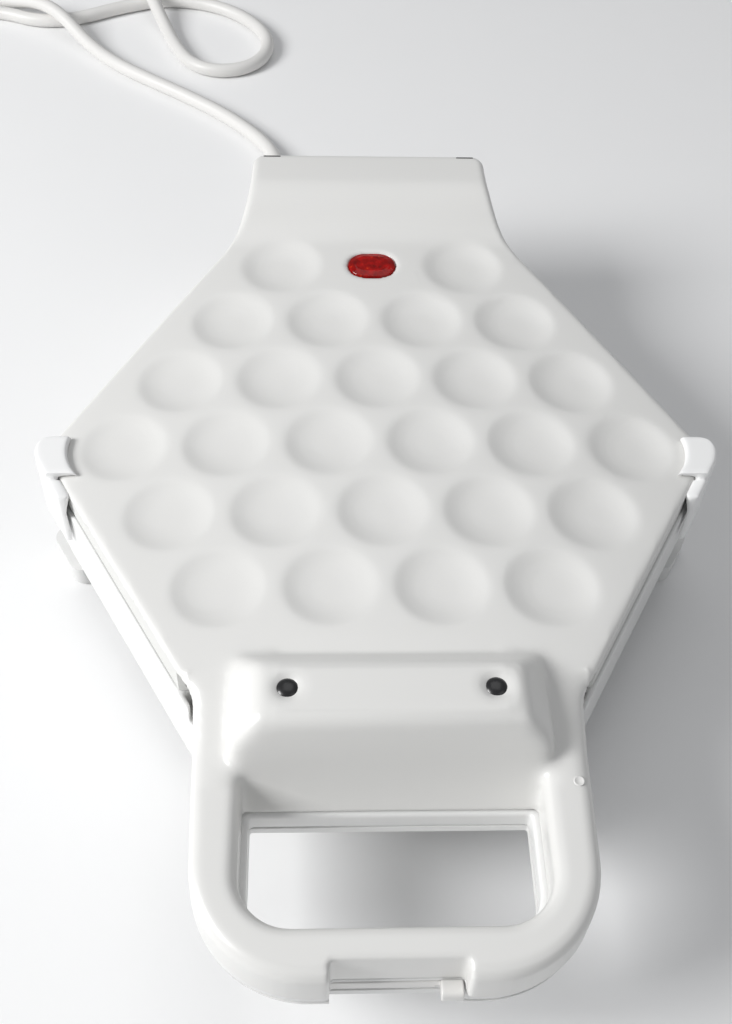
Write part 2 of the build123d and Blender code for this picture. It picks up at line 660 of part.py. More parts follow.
# ---------------------------------------------------------------- lamp in the lid
def make_lamp_lens():
    """Red window with a flange against the underside of the lid's sheet."""
    low = CROWN_Z - SHEET - 2
    body = stadium(LENS_LENGTH, LENS_WIDTH, low, CROWN_Z + LENS_PROUD)
    body = fillet(body.faces().sort_by(Axis.Z)[-1].outer_wire().edges(), LENS_PROUD / 2)
    flange = stadium(LENS_LENGTH + 2 * LENS_FLANGE, LENS_WIDTH + 2 * LENS_FLANGE, low, CROWN_Z)
    return Pos(0, LAMP_Y, 0) * (body + (flange & crown(SHEET)))


def make_lamp_holder():
    """Open box under the window with a round seat for the neon tube."""
    high, half = CROWN_Z - SHEET - 2, LENS_LENGTH / 2 + LENS_FLANGE
    low = high - HOLDER_DEPTH
    inner, side = half - HOLDER_WALL, 6.0
    body = block(-half, half, LAMP_Y - side, LAMP_Y + side, low, high)
    body -= block(-inner, inner, LAMP_Y - side + HOLDER_WALL, LAMP_Y + side - HOLDER_WALL,
                  low + HOLDER_WALL, HIGH)
    seat = Cylinder(BULB_R, 2 * half - HOLDER_WALL, rotation=(0, 90, 0))
    return body - Pos(0, LAMP_Y, low + HOLDER_WALL + BULB_R) * seat


def make_neon_lamp():
    """Small glass tube that lies across the lamp holder."""
    z = CROWN_Z - SHEET - 2 - HOLDER_DEPTH + HOLDER_WALL + BULB_R
    length = LENS_LENGTH - 4
    tube = Cylinder(BULB_R, length, rotation=(0, 90, 0))
    tips = [Pos(side * length / 2, 0, 0) * Sphere(BULB_R) for side in (-1, 1)]
    return Pos(0, LAMP_Y, z) * (tube + tips)


def wire(points, radius=LEAD_R, bend=3.0):
    """Round lead through points, with the same bend at every corner."""
    route = FilletPolyline(*points, radius=bend)
    return swept_ring(route, Circle(radius))


def make_thermal_fuse():
    """Fuse in its sleeve, lying on the lid's reflector."""
    z = UPPER_FACE + REFLECTOR_DEPTH + REFLECTOR_THICK + 2.0
    return Pos(0, 2 * ROW_PITCH - 9, z) * Cylinder(2.0, 14, rotation=(0, 90, 0))


# ---------------------------------------------------------------- base
def boss_places():
    """Screw bosses that carry the bottom cover, on both sides."""
    return [(side * x, y) for x, y in COVER_SCREWS for side in (-1, 1)]


def base_ear():
    """Right hinge ear, which rises behind the base's back wall and holds one pin."""
    x0, width = BASE_EAR_X, BASE_EAR_WIDTH
    middle = Pos(x0 + width / 2, HINGE_Y, HINGE_Z)
    disc = middle * Cylinder(KNUCKLE_R, width, rotation=(0, 90, 0))
    foot = BASE_BACK - WALL
    arm = Plane.YZ * make_face(Polyline(
        (foot, HINGE_Z - 14), (foot, HINGE_Z - 2), (HINGE_Y, HINGE_Z),
        (HINGE_Y + KNUCKLE_R, HINGE_Z), (HINGE_Y + 2, HINGE_Z - 9), close=True))
    bore = middle * Cylinder(PIN_R, 3 * width, rotation=(0, 90, 0))
    return disc + Pos(x0, 0, 0) * extrude(arm, width, dir=(1, 0, 0)) - bore


def lower_opening(grow):
    """The lower handle's hand opening."""
    return slab(opening_plan(grow - LOWER_OPENING_IN, LOWER_OPENING_BACK - grow), 0, HIGH)


def lower_handle():
    """Skin of the lower handle: side wall, deck, opening's wall, latch guides and two bosses."""
    skin = slab(lower_grip(), LOWER_HANDLE_BOTTOM, DECK_TOP)
    skin -= slab(lower_grip(-WALL), 0, DECK_TOP - HANDLE_DECK)
    band = block(-LONG, LONG, -LONG, LONG, LOWER_HANDLE_BOTTOM, DECK_TOP)
    opening_wall = slab(opening_plan(WALL - LOWER_OPENING_IN, LOWER_OPENING_BACK + WALL), 0, HIGH)
    skin = skin + (opening_wall & band) - lower_opening(0.0)
    for side in (-1, 1):
        wall_x = sorted((side * NOTCH_HALF, side * (NOTCH_HALF + WALL)))
        skin += block(*wall_x, LOWER_FRONT, NOTCH_FACE - PART_GAP, LOWER_HANDLE_BOTTOM, DECK_TOP)
        guide_x = sorted((side * 28.0, side * 32.0))
        skin += block(*guide_x, NOTCH_FACE + LATCH_THICK + PART_GAP, OPENING_FRONT + 1,
                      LATCH_LOW, DECK_TOP - HANDLE_DECK)
        skin += post(side * HANDLE_SCREW_X, HANDLE_SCREW_Y, HANDLE_PAN_BOTTOM + WALL, DECK_TOP - 1,
                     BOSS_R)
        skin -= post(side * HANDLE_SCREW_X, HANDLE_SCREW_Y, 0, DECK_TOP - HANDLE_DECK, SCREW_BORE)
    skin -= notch(NOTCH_DEPTH, 0)
    sill = block(-LATCH_HALF - 2, LATCH_HALF + 2, NOTCH_FACE, NOTCH_FACE + WALL,
                 LOWER_HANDLE_BOTTOM, LATCH_LOW)
    web = block(28.0, 32.0, NOTCH_FACE + 1, OPENING_FRONT + 1, LOWER_HANDLE_BOTTOM, LATCH_LOW)
    return skin - latch_slots(LATCH_LOW, HIGH) + [sill, web, mirror(web, Plane.YZ)]


def make_base_shell():
    """White lower casing: wall round the plate, shelf, bosses, lower handle and hinge ears."""
    inner = tray_plan(BASE_PROUD - WALL)
    wall = slab(tray_plan(BASE_PROUD), BASE_BOTTOM, BASE_TOP) - slab(inner, 0, HIGH)
    shelf = slab(inner, SHELF_Z - SHELF_THICK, SHELF_Z) - slab(plate_plan(PART_GAP), 0, HIGH)
    shelf -= block(CORD_EXIT_X - 16, -6, LAMP_Y + PLATE_MARGIN + LIP_REACH + 2, LONG, 0, HIGH)
    body = wall + shelf
    for x, y in boss_places():
        body += post(x, y, COVER_BOTTOM + WALL, SHELF_Z - SHELF_THICK, BOSS_R)
        body -= post(x, y, 0, SHELF_Z - SHELF_THICK, SCREW_BORE)
    ring_low = LOWER_FACE - 2
    for x in (-FRAME_SCREW_X, FRAME_SCREW_X):
        body += post(x, FRAME_SCREW_Y, SHELF_Z, ring_low, BOSS_R)
        body -= post(x, FRAME_SCREW_Y, SHELF_Z, ring_low + 1, SCREW_BORE)
    body += block(-30, 30, BASE_BACK - WALL - 4, BASE_BACK - 1, ring_low - 2, ring_low)
    mouth_half = HANDLE_HALF + BASE_PROUD + 1
    body -= block(-mouth_half, mouth_half, -LONG, HANDLE_START + WALL + 2, DECK_TOP, HIGH)
    cross = block(-mouth_half - 12, mouth_half + 12, HANDLE_START + WALL + PART_GAP,
                  HANDLE_START + 2 * WALL + PART_GAP, LOWER_FACE, BASE_TOP)
    body += cross & slab(tray_plan(BASE_PROUD - 0.5), 0, HIGH)
    body += lower_handle() - slab(tray_plan(BASE_PROUD - 0.1), 0, HIGH)
    hole = Cylinder(RELIEF_NECK_R, 4 * WALL, rotation=(90, 0, 0))
    body -= Pos(CORD_EXIT_X, BASE_BACK, CORD_EXIT_Z) * hole
    ear = base_ear()
    return body + [ear, mirror(ear, Plane.YZ)]


def make_lower_frame():
    """Grey ring that covers the gap round the lower plate and presses on its lip."""
    outline = tray_plan(BASE_PROUD - WALL - PART_GAP)
    ring = slab(outline, LOWER_FACE - 2, LOWER_FACE)
    skirt = slab(plate_plan(LIP_REACH + 0.4), SHELF_Z + LIP_THICK, LOWER_FACE)
    body = ring + skirt - slab(plate_plan(0.4), 0, HIGH)
    for x in (-FRAME_SCREW_X, FRAME_SCREW_X):
        body -= post(x, FRAME_SCREW_Y, 0, HIGH, SCREW_HOLE)
    return body


def make_bottom_cover():
    """Floor of the appliance: a shallow pan under the base with holes for its screws."""
    pan = slab(tray_plan(BASE_PROUD - COVER_INSET), COVER_BOTTOM + 2, BASE_BOTTOM - COVER_SEAM)
    pan += slab(tray_plan(BASE_PROUD - COVER_INSET - 1), COVER_BOTTOM, COVER_BOTTOM + 2)
    pan -= slab(tray_plan(BASE_PROUD - COVER_INSET - WALL), COVER_BOTTOM + WALL, HIGH)
    return pan - [post(x, y, 0, HIGH, SCREW_HOLE) for x, y in boss_places()]


def make_handle_pan():
    """Underside of the lower handle: a rounded pan between the base and the notch."""
    top = LOWER_HANDLE_BOTTOM - COVER_SEAM
    clear_of_tray = slab(tray_plan(BASE_PROUD + PART_GAP), 0, HIGH)
    core_plan = lower_grip(-PAN_ROUND, HANDLE_START + OVERRUN)
    core = slab(core_plan, HANDLE_PAN_BOTTOM + PAN_ROUND, top + OVERRUN)
    pan = swell(core, PAN_ROUND) & slab(lower_grip(), HANDLE_PAN_BOTTOM, top)
    pan = pan - clear_of_tray - lower_opening(0.0)
    air = slab(lower_grip(-WALL), HANDLE_PAN_BOTTOM + WALL, HIGH)
    air -= slab(opening_plan(WALL - LOWER_OPENING_IN, LOWER_OPENING_BACK + WALL), 0, HIGH)
    air -= notch(NOTCH_DEPTH, 0, WALL)
    pan = pan - air - notch(NOTCH_DEPTH, 0)
    for side in (-1, 1):
        pan -= post(side * HANDLE_SCREW_X, HANDLE_SCREW_Y, 0, HIGH, SCREW_HOLE)
    return pan


def make_feet():
    """Six rounded feet, each along the side of the base that it stands under."""
    spots = [(126.0, -3.5, 60), (52.0, -98.0, 0), (38.0, 134.0, 0)]
    feet = []
    for x, y, turn in spots:
        foot = stadium(FOOT_LENGTH, FOOT_WIDTH, 0, COVER_BOTTOM)
        foot = fillet(foot.faces().sort_by(Axis.Z)[0].outer_wire().edges(), 1.5)
        foot = Pos(x, y, 0) * (Rot(0, 0, turn) * foot)
        feet += [foot, mirror(foot, Plane.YZ)]
    return feet


def make_pin():
    """Right hinge pin, pressed into the base's ear and running in the lid's knuckle."""
    length = BASE_EAR_WIDTH + EAR_GAP + LID_EAR_WIDTH - 0.5
    middle = Pos(BASE_EAR_X + length / 2, HINGE_Y, HINGE_Z)
    return middle * Cylinder(PIN_R, length, rotation=(0, 90, 0))


def make_latch():
    """Sliding latch: a bar behind the notch, a thumb tab and two hooks that rise into the lid."""
    back = NOTCH_FACE + LATCH_THICK
    bar = block(HOOK_LEFT_X, LATCH_HALF, NOTCH_FACE, back, LATCH_LOW, LATCH_HIGH)
    tab = block(TAB_X, TAB_X + TAB_WIDTH, NOTCH_FACE - TAB_REACH, NOTCH_FACE,
                LATCH_LOW + 3, TAB_TOP)
    tab = fillet(tab.edges().filter_by(Axis.X).group_by(Axis.Y)[0], 1.5)
    body = bar + tab
    for x in (HOOK_RIGHT_X, HOOK_LEFT_X):
        body += block(x, x + HOOK_WIDTH, NOTCH_FACE, back, LATCH_LOW, HOOK_TOP)
        body += block(x - HOOK_REACH, x + HOOK_WIDTH, NOTCH_FACE, back,
                      DECK_LOW + HANDLE_DECK + PART_GAP, HOOK_TOP)
    return body


# ---------------------------------------------------------------- wiring in the base
def make_thermostat():
    """Round thermostat against the underside of the lower reflector."""
    top = LOWER_FACE - REFLECTOR_DEPTH - REFLECTOR_THICK
    can = post(0, 0, top - 8, top, 8.0)
    blades = [block(x - 2, x + 2, -0.5, 0.5, top - 12, top - 8) for x in (-4.5, 4.5)]
    return can + blades


def make_terminal_block():
    """Two-way terminal block on the floor of the neck."""
    floor = COVER_BOTTOM + WALL
    low_y = TERMINAL_Y - TERMINAL_DEPTH / 2
    body = block(TERMINAL_X - TERMINAL_WIDTH / 2, TERMINAL_X + TERMINAL_WIDTH / 2,
                 low_y, low_y + TERMINAL_DEPTH, floor, floor + TERMINAL_HEIGHT)
    for side in (-1, 1):
        body -= post(TERMINAL_X + side * TERMINAL_WAY, low_y + 3, floor + 6, HIGH, SCREW_R)
    return body


def make_supply_leads():
    """The two cores of the cord, from its cut end to the terminal block."""
    top = COVER_BOTTOM + WALL + TERMINAL_HEIGHT
    turn = TERMINAL_Y + TERMINAL_DEPTH / 2 + 2
    leads = []
    for side, turn_y in ((-1, turn), (1, turn + 3)):
        start_x = CORD_EXIT_X + side * CORE_APART
        end_x = TERMINAL_X + side * TERMINAL_WAY
        leads.append(wire([(start_x, CORD_INNER_Y, CORD_EXIT_Z), (start_x, turn_y, CORD_EXIT_Z),
                           (end_x, turn_y - 6, CORD_EXIT_Z), (end_x, turn_y - 6, top)], bend=2.5))
    return leads


def make_inner_leads():
    """Leads from the terminal block to the lower heater, one of them by way of the thermostat."""
    level, blade_y = COVER_BOTTOM + WALL + 3, 0.5
    tip_x, tip_y = heater_tip()
    rise = [(tip_x, tip_y - 6, level), (tip_x, tip_y, level),
            (tip_x, tip_y, LOWER_FACE - HEATER_DEPTH - 1.25)]
    near_y = TERMINAL_Y - TERMINAL_DEPTH / 2
    left, right = TERMINAL_X - 2, TERMINAL_X + 8
    direct = wire([(left, near_y, level), (left, near_y - 8, level), (-tip_x, near_y - 12, level),
                   (-tip_x, tip_y, level), (-tip_x, tip_y, rise[-1][2])], bend=1.5)
    first = wire([(right, near_y, level), (right, near_y - 8, level), (-4.5, 100, level),
                  (-4.5, blade_y, level)])
    second = wire([(4.5, blade_y, level), (4.5, 90, level)] + rise, bend=1.5)
    return [direct, first, second]


def heater_tip():
    """Where the right terminal pin of a heater ends."""
    route = heater_route(0)
    tip = (route @ 1) + (route % 1) * 8.0
    return tip.X, tip.Y


# ---------------------------------------------------------------- mains lead
def cord_points():
    """Middle line of the cord from inside the base to the plug, in the final frame."""
    exit_x, exit_z, low, high = CORD_EXIT_X, CORD_EXIT_Z, CORD_RADIUS, CORD_HUMP
    plug_z = PLUG_R
    return [
        (exit_x, CORD_INNER_Y + SHIFT_Y, exit_z), (exit_x, 230, exit_z), (-45, 287, 6),
        (-53, 311, low), (-76, 337, low), (-101, 357, low), (-125, 374, low), (-146, 390, low),
        (-165, 411, low), (-184, 433, high), (-200, 446, high), (-226, 459, low),
        (-257, 478, low), (-293, 514, low), (-336, 511, low), (-362, 477, low),
        (-353, 435, low), (-316, 414, low), (-277, 426, low), (-250, 446, low),
        (-224, 448, low), (-200, 437, low), (-176, 440, low), (-150, 455, low),
        (-122, 465, low), (-94, 461, low), (-71, 447, low), (-55, 425, low), (-54, 404, low),
        (-65, 388, low), (-84, 383, low), (-101, 391, low), (-111, 410, low), (-119, 432, low),
        (-129, 454, high), (-134, 474, high), (-140, 505, low), (-141, 543, plug_z),
        (-141, 570, plug_z),
    ]


def cord_route(points):
    """Straight runs joined by tangent arcs; each arc takes 0.45 of its shorter run."""
    radii = []
    for before, here, after in zip(points, points[1:], points[2:]):
        into, out = Vector(*here) - Vector(*before), Vector(*after) - Vector(*here)
        turn = math.radians(into.get_angle(out))
        radii.append(0.45 * min(into.length, out.length) / math.tan(turn / 2))
    print("cord radii, mm:", [round(radius, 1) for radius in radii])
    return FilletPolyline(*points, radius=radii)


def make_cord(route):
    """The cord's tube along its route."""
    return swept_ring(route, Circle(CORD_RADIUS))


def make_strain_relief():
    """Tapered sleeve round the cord where it leaves the base, held in the wall by a collar."""
    outside = BASE_BACK
    inside = BASE_BACK - WALL
    profile = make_face(Polyline(
        (CORD_RADIUS, inside - 3), (RELIEF_COLLAR_R, inside - 3), (RELIEF_COLLAR_R, inside),
        (RELIEF_NECK_R, inside), (RELIEF_NECK_R, outside), (RELIEF_ROOT_R, outside),
        (RELIEF_ROOT_R, outside + 4), (RELIEF_TIP_R, outside + RELIEF_LENGTH),
        (CORD_RADIUS, outside + RELIEF_LENGTH), close=True))
    sleeve = revolve(profile, Axis.Y)
    return Pos(CORD_EXIT_X, SHIFT_Y, CORD_EXIT_Z) * sleeve


def make_plug_body(end):
    """Moulded two-pin plug, round at its face, with a groove for each earth spring."""
    profile = make_face(Polyline(
        (0, -10), (6, -10), (8.5, 6), (14, 12), (14.5, 28), (PLUG_R, 31), (PLUG_R, PLUG_LENGTH),
        (0, PLUG_LENGTH), close=True))
    body = revolve(profile, Axis.Y)
    body = fillet(body.faces().sort_by(Axis.Y)[-1].outer_wire().edges(), 1.2)
    for side in (-1, 1):
        body -= Pos(0, PLUG_LENGTH, side * PLUG_R) * Box(6, 34, 5)
    body -= Pos(0, -10 + 5, 0) * Cylinder(CORD_RADIUS, 10, rotation=(90, 0, 0))
    return Pos(*end) * body


def make_plug_pins(end):
    """The two round contact pins."""
    middle = PLUG_LENGTH + PLUG_PIN_LENGTH / 2
    pin = Cylinder(PLUG_PIN_R, PLUG_PIN_LENGTH, rotation=(90, 0, 0))
    pin = fillet(pin.faces().sort_by(Axis.Y)[-1].edges(), 1.0)
    return [Pos(end[0] + side * PLUG_PIN_X, end[1] + middle, end[2]) * pin for side in (-1, 1)]


# ---------------------------------------------------------------- assembly
def save(name, solids, shift=SHIFT_Y):
    """Write one node, moved to the final frame."""
    placed = [Pos(0, shift, 0) * solid for solid in solids]
    shape = placed[0] if len(placed) == 1 else Compound(children=placed)
    export_step(shape, f"parts/{name}.step")
    volume = sum(solid.volume for solid in placed)
    valid = all(solid.is_valid for solid in placed)
    count = sum(len(solid.solids()) for solid in placed)
    print(f"{name}: {volume:.0f} mm3, {count} solid(s), valid {valid}")


def main():
    """Build every node and write it to the parts folder."""
    os.makedirs("parts", exist_ok=True)
    plate, heater, reflector = make_plate(), make_heater(), make_reflector()
    clips = make_reflector_screws()
    up, down = Pos(0, 0, UPPER_FACE), Pos(0, 0, LOWER_FACE)

    save("lid_shell", [make_lid_shell()])
    save("lid_frame", [make_lid_frame()])
    save("upper_plate", [up * plate])
    save("upper_heater", [up * heater])
    save("upper_reflector", [up * reflector])
    save("upper_reflector_screws", [up * clip for clip in clips])
    guide = make_guide()
    save("corner_guide_right", [guide])
    save("corner_guide_left", [mirror(guide, Plane.YZ)])
    save("lamp_lens", [make_lamp_lens()])
    save("lamp_holder", [make_lamp_holder()])
    save("neon_lamp", [make_neon_lamp()])
    save("thermal_fuse", [make_thermal_fuse()])
    save("platform_screws", make_platform_screws())
    save("neck_screws", make_neck_screws())

    save("base_shell", [make_base_shell()])
    save("lower_frame", [make_lower_frame()])
    save("lower_plate", [down * mirror(plate, Plane.XY)])
    save("lower_heater", [down * mirror(heater, Plane.XY)])
    save("lower_reflector", [down * mirror(reflector, Plane.XY)])
    save("lower_reflector_screws", [down * mirror(clip, Plane.XY) for clip in clips])
    save("bottom_cover", [make_bottom_cover()])
    save("handle_pan", [make_handle_pan()])
    save("feet", make_feet())
    save("cover_screws", [screw(x, y, COVER_BOTTOM, 0, COVER_BOTTOM + 12) for x, y in boss_places()])
    save("handle_screws", [screw(side * HANDLE_SCREW_X, HANDLE_SCREW_Y, HANDLE_PAN_BOTTOM, 0,
                                 DECK_TOP - HANDLE_DECK - 1) for side in (-1, 1)])
    save("frame_screws", [screw(side * FRAME_SCREW_X, FRAME_SCREW_Y, LOWER_FACE, HIGH,
                                LOWER_FACE - 10) for side in (-1, 1)])
    pin = make_pin()
    save("hinge_pins", [pin, mirror(pin, Plane.YZ)])
    save("thermostat", [make_thermostat()])
    save("terminal_block", [make_terminal_block()])
    save("supply_leads", make_supply_leads())
    save("inner_leads", make_inner_leads())
    save("latch_slider", [make_latch()])

    points = cord_points()
    route = cord_route(points)
    cord = make_cord(route)
    share = cord.volume / (math.pi * CORD_RADIUS ** 2 * route.length)
    print(f"cord length {route.length:.0f} mm, volume over section x length {share:.4f}")
    save("cord", [cord], shift=0)
    save("strain_relief", [make_strain_relief()], shift=0)
    save("plug_body", [make_plug_body(points[-1])], shift=0)
    save("plug_pins", make_plug_pins(points[-1]), shift=0)


if __name__ == "__main__":
    main()
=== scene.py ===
"""Visual model of the doughnut ball maker: finishes, moulded skins, mains lead and small trim."""

import json
import logging
import math
from collections.abc import Iterable
from dataclasses import dataclass, field
from enum import Enum

import bmesh
import bpy
from mathutils import Matrix, Vector
from mathutils.bvhtree import BVHTree


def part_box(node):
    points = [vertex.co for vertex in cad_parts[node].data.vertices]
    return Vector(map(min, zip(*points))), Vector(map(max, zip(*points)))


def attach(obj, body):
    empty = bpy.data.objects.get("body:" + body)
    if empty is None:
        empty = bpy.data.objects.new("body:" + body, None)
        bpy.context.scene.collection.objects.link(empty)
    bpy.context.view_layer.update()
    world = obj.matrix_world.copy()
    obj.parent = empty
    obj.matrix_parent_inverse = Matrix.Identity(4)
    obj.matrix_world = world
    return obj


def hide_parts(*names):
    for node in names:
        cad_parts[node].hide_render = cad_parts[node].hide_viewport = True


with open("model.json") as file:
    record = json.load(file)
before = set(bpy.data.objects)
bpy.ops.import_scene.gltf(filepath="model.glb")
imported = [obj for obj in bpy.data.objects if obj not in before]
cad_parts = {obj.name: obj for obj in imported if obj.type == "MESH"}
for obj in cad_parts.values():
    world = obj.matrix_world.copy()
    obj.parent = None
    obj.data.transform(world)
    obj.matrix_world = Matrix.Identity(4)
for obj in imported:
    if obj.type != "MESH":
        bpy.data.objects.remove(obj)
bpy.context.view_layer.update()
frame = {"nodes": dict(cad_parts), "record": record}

log = logging.getLogger("doughnut_maker")
MM = 0.001
CAD_SCREW_HEAD_R = 3.3
CLEAR_ABOVE = 20.0
UP, DOWN = Vector((0, 0, 1)), Vector((0, 0, -1))
Colour = tuple[float, float, float]
Point = tuple[float, float, float]


class Body(Enum):
    """The moving bodies of the appliance."""

    LID = "lid"
    BASE = "base"
    LATCH = "latch"


# ---------------------------------------------------------------- node trees and finishes
class NodeSheet:
    """A new material with the few node building blocks that the finishes share."""

    def __init__(self, name: str) -> None:
        """Start an empty node tree with an output and an object-coordinate source.

        Args:
            name: The material's name.
        """
        self.material = bpy.data.materials.new(name)
        self.material.use_nodes = True
        self.tree = self.material.node_tree
        self.tree.nodes.clear()
        self.output = self.tree.nodes.new("ShaderNodeOutputMaterial")
        self.place = self.tree.nodes.new("ShaderNodeTexCoord").outputs["Object"]

    def add(self, kind: str, **settings: object) -> bpy.types.Node:
        """Add a node.

        Args:
            kind: The node's type, without the leading "ShaderNode".
            **settings: Properties of the node, such as its operation.

        Returns:
            The new node.
        """
        node = self.tree.nodes.new("ShaderNode" + kind)
        for key, value in settings.items():
            setattr(node, key, value)
        return node

    def link(self, source: bpy.types.NodeSocket, target: bpy.types.NodeSocket) -> None:
        """Join two sockets."""
        self.tree.links.new(source, target)

    def noise(self, scale: float, detail: float = 2.0, stretch: Point = (1, 1, 1)) -> bpy.types.NodeSocket:
        """Add noise on object coordinates.

        Args:
            scale: Features per metre.
            detail: Octaves of finer noise.
            stretch: How much finer the pattern runs along each axis.

        Returns:
            The socket of the noise's value.
        """
        mapping = self.add("Mapping")
        mapping.inputs["Scale"].default_value = stretch
        self.link(self.place, mapping.inputs["Vector"])
        noise = self.add("TexNoise")
        noise.inputs["Scale"].default_value = scale
        noise.inputs["Detail"].default_value = detail
        self.link(mapping.outputs["Vector"], noise.inputs["Vector"])
        return noise.outputs["Fac"]

    def spread(self, source: bpy.types.NodeSocket, low: float, high: float) -> bpy.types.NodeSocket:
        """Map the middle of a noise to a range of values.

        Args:
            source: The noise's socket.
            low: Value where the noise is 0.3.
            high: Value where the noise is 0.7.

        Returns:
            The socket of the mapped value.
        """
        span = self.add("MapRange")
        span.inputs["From Min"].default_value = 0.3
        span.inputs["From Max"].default_value = 0.7
        span.inputs["To Min"].default_value = low
        span.inputs["To Max"].default_value = high
        self.link(source, span.inputs["Value"])
        return span.outputs["Result"]

    def shade(self, source: bpy.types.NodeSocket, first: Colour, second: Colour) -> bpy.types.NodeSocket:
        """Fade between two colours.

        Args:
            source: Socket of the factor.
            first: Colour at 0.
            second: Colour at 1.

        Returns:
            The socket of the colour.
        """
        mix = self.add("Mix", data_type="RGBA")
        mix.inputs[6].default_value = (*first, 1)
        mix.inputs[7].default_value = (*second, 1)
        self.link(source, mix.inputs["Factor"])
        return mix.outputs[2]

    def bump(self, source: bpy.types.NodeSocket, depth: float) -> bpy.types.NodeSocket:
        """Turn a value into a relief.

        Args:
            source: Socket of the value.
            depth: Height of the relief in metres where the value is 1.

        Returns:
            The socket of the relief's normal.
        """
        bump = self.add("Bump")
        bump.inputs["Strength"].default_value = 1.0
        bump.inputs["Distance"].default_value = depth
        self.link(source, bump.inputs["Height"])
        return bump.outputs["Normal"]

    def surface(self, metallic: float = 0.0, coat: float = 0.0) -> bpy.types.Node:
        """Add the main shader and join it to the output.

        Args:
            metallic: 1 for bare metal, 0 for anything else.
            coat: Weight of the clear film on top.

        Returns:
            The shader's node.
        """
        shader = self.add("BsdfPrincipled")
        shader.inputs["Metallic"].default_value = metallic
        shader.inputs["Coat Weight"].default_value = coat
        shader.inputs["Coat Roughness"].default_value = 0.12
        self.link(shader.outputs["BSDF"], self.output.inputs["Surface"])
        return shader


@dataclass(frozen=True)
class Plastic:
    """Moulded plastic: a fine grain, a slow change of gloss and a slight change of shade."""

    name: str
    colour: Colour
    roughness: float
    grain: float = 1400.0
    depth: float = 0.000012
    shade: float = 0.025
    coat: float = 0.0
    shade_scale: float = 9.0
    gloss_scale: float = 60.0
    gloss_range: tuple[float, float] = (0.92, 1.1)

    def build(self) -> bpy.types.Material:
        """Make the material.

        Returns:
            The material.
        """
        sheet = NodeSheet(self.name)
        shader = sheet.surface(coat=self.coat)
        darker = tuple(c * (1 - self.shade) for c in self.colour)
        slow = sheet.noise(self.shade_scale, 1.0)
        sheet.link(sheet.shade(slow, self.colour, darker), shader.inputs["Base Color"])
        smoothest, roughest = (self.roughness * share for share in self.gloss_range)
        gloss = sheet.spread(sheet.noise(self.gloss_scale), smoothest, roughest)
        sheet.link(gloss, shader.inputs["Roughness"])
        sheet.link(sheet.bump(sheet.noise(self.grain), self.depth), shader.inputs["Normal"])
        return sheet.material


@dataclass(frozen=True)
class Metal:
    """Bare or plated metal, with brush marks drawn out along one axis."""

    name: str
    colour: Colour
    roughness: float
    stretch: Point = (1, 1, 12)
    depth: float = 0.00001
    shade: float = 0.14
    mark_scale: float = 500.0
    gloss_range: tuple[float, float] = (0.8, 1.25)

    def build(self) -> bpy.types.Material:
        """Make the material.

        Returns:
            The material.
        """
        sheet = NodeSheet(self.name)
        shader = sheet.surface(metallic=1.0)
        marks = sheet.noise(self.mark_scale, 3.0, self.stretch)
        darker = tuple(c * (1 - self.shade) for c in self.colour)
        sheet.link(sheet.shade(marks, self.colour, darker), shader.inputs["Base Color"])
        smoothest, roughest = (self.roughness * share for share in self.gloss_range)
        gloss = sheet.spread(marks, smoothest, roughest)
        sheet.link(gloss, shader.inputs["Roughness"])
        sheet.link(sheet.bump(marks, self.depth), shader.inputs["Normal"])
        return sheet.material


@dataclass(frozen=True)
class Coating:
    """Non-stick coating on a casting: dark, softly shining, with fine lighter specks."""

    name: str
    colour: Colour
    fleck: Colour
    roughness: float = 0.36
    coat: float = 0.25
    fleck_scale: float = 900.0
    fleck_edge: tuple[float, float] = (0.05, 0.16)
    grain: float = 1100.0
    depth: float = 0.00003

    def build(self) -> bpy.types.Material:
        """Make the material.

        Returns:
            The material.
        """
        sheet = NodeSheet(self.name)
        shader = sheet.surface(coat=self.coat)
        cells = sheet.add("TexVoronoi")
        cells.inputs["Scale"].default_value = self.fleck_scale
        sheet.link(sheet.place, cells.inputs["Vector"])
        near = sheet.add("MapRange")
        near.inputs["From Min"].default_value = self.fleck_edge[0]
        near.inputs["From Max"].default_value = self.fleck_edge[1]
        near.inputs["To Min"].default_value = 1.0
        near.inputs["To Max"].default_value = 0.0
        sheet.link(cells.outputs["Distance"], near.inputs["Value"])
        sheet.link(sheet.shade(near.outputs["Result"], self.colour, self.fleck),
                   shader.inputs["Base Color"])
        sheet.link(sheet.spread(sheet.noise(80.0), self.roughness * 0.9, self.roughness * 1.2),
                   shader.inputs["Roughness"])
        sheet.link(sheet.bump(sheet.noise(self.grain, 3.0), self.depth), shader.inputs["Normal"])
        return sheet.material


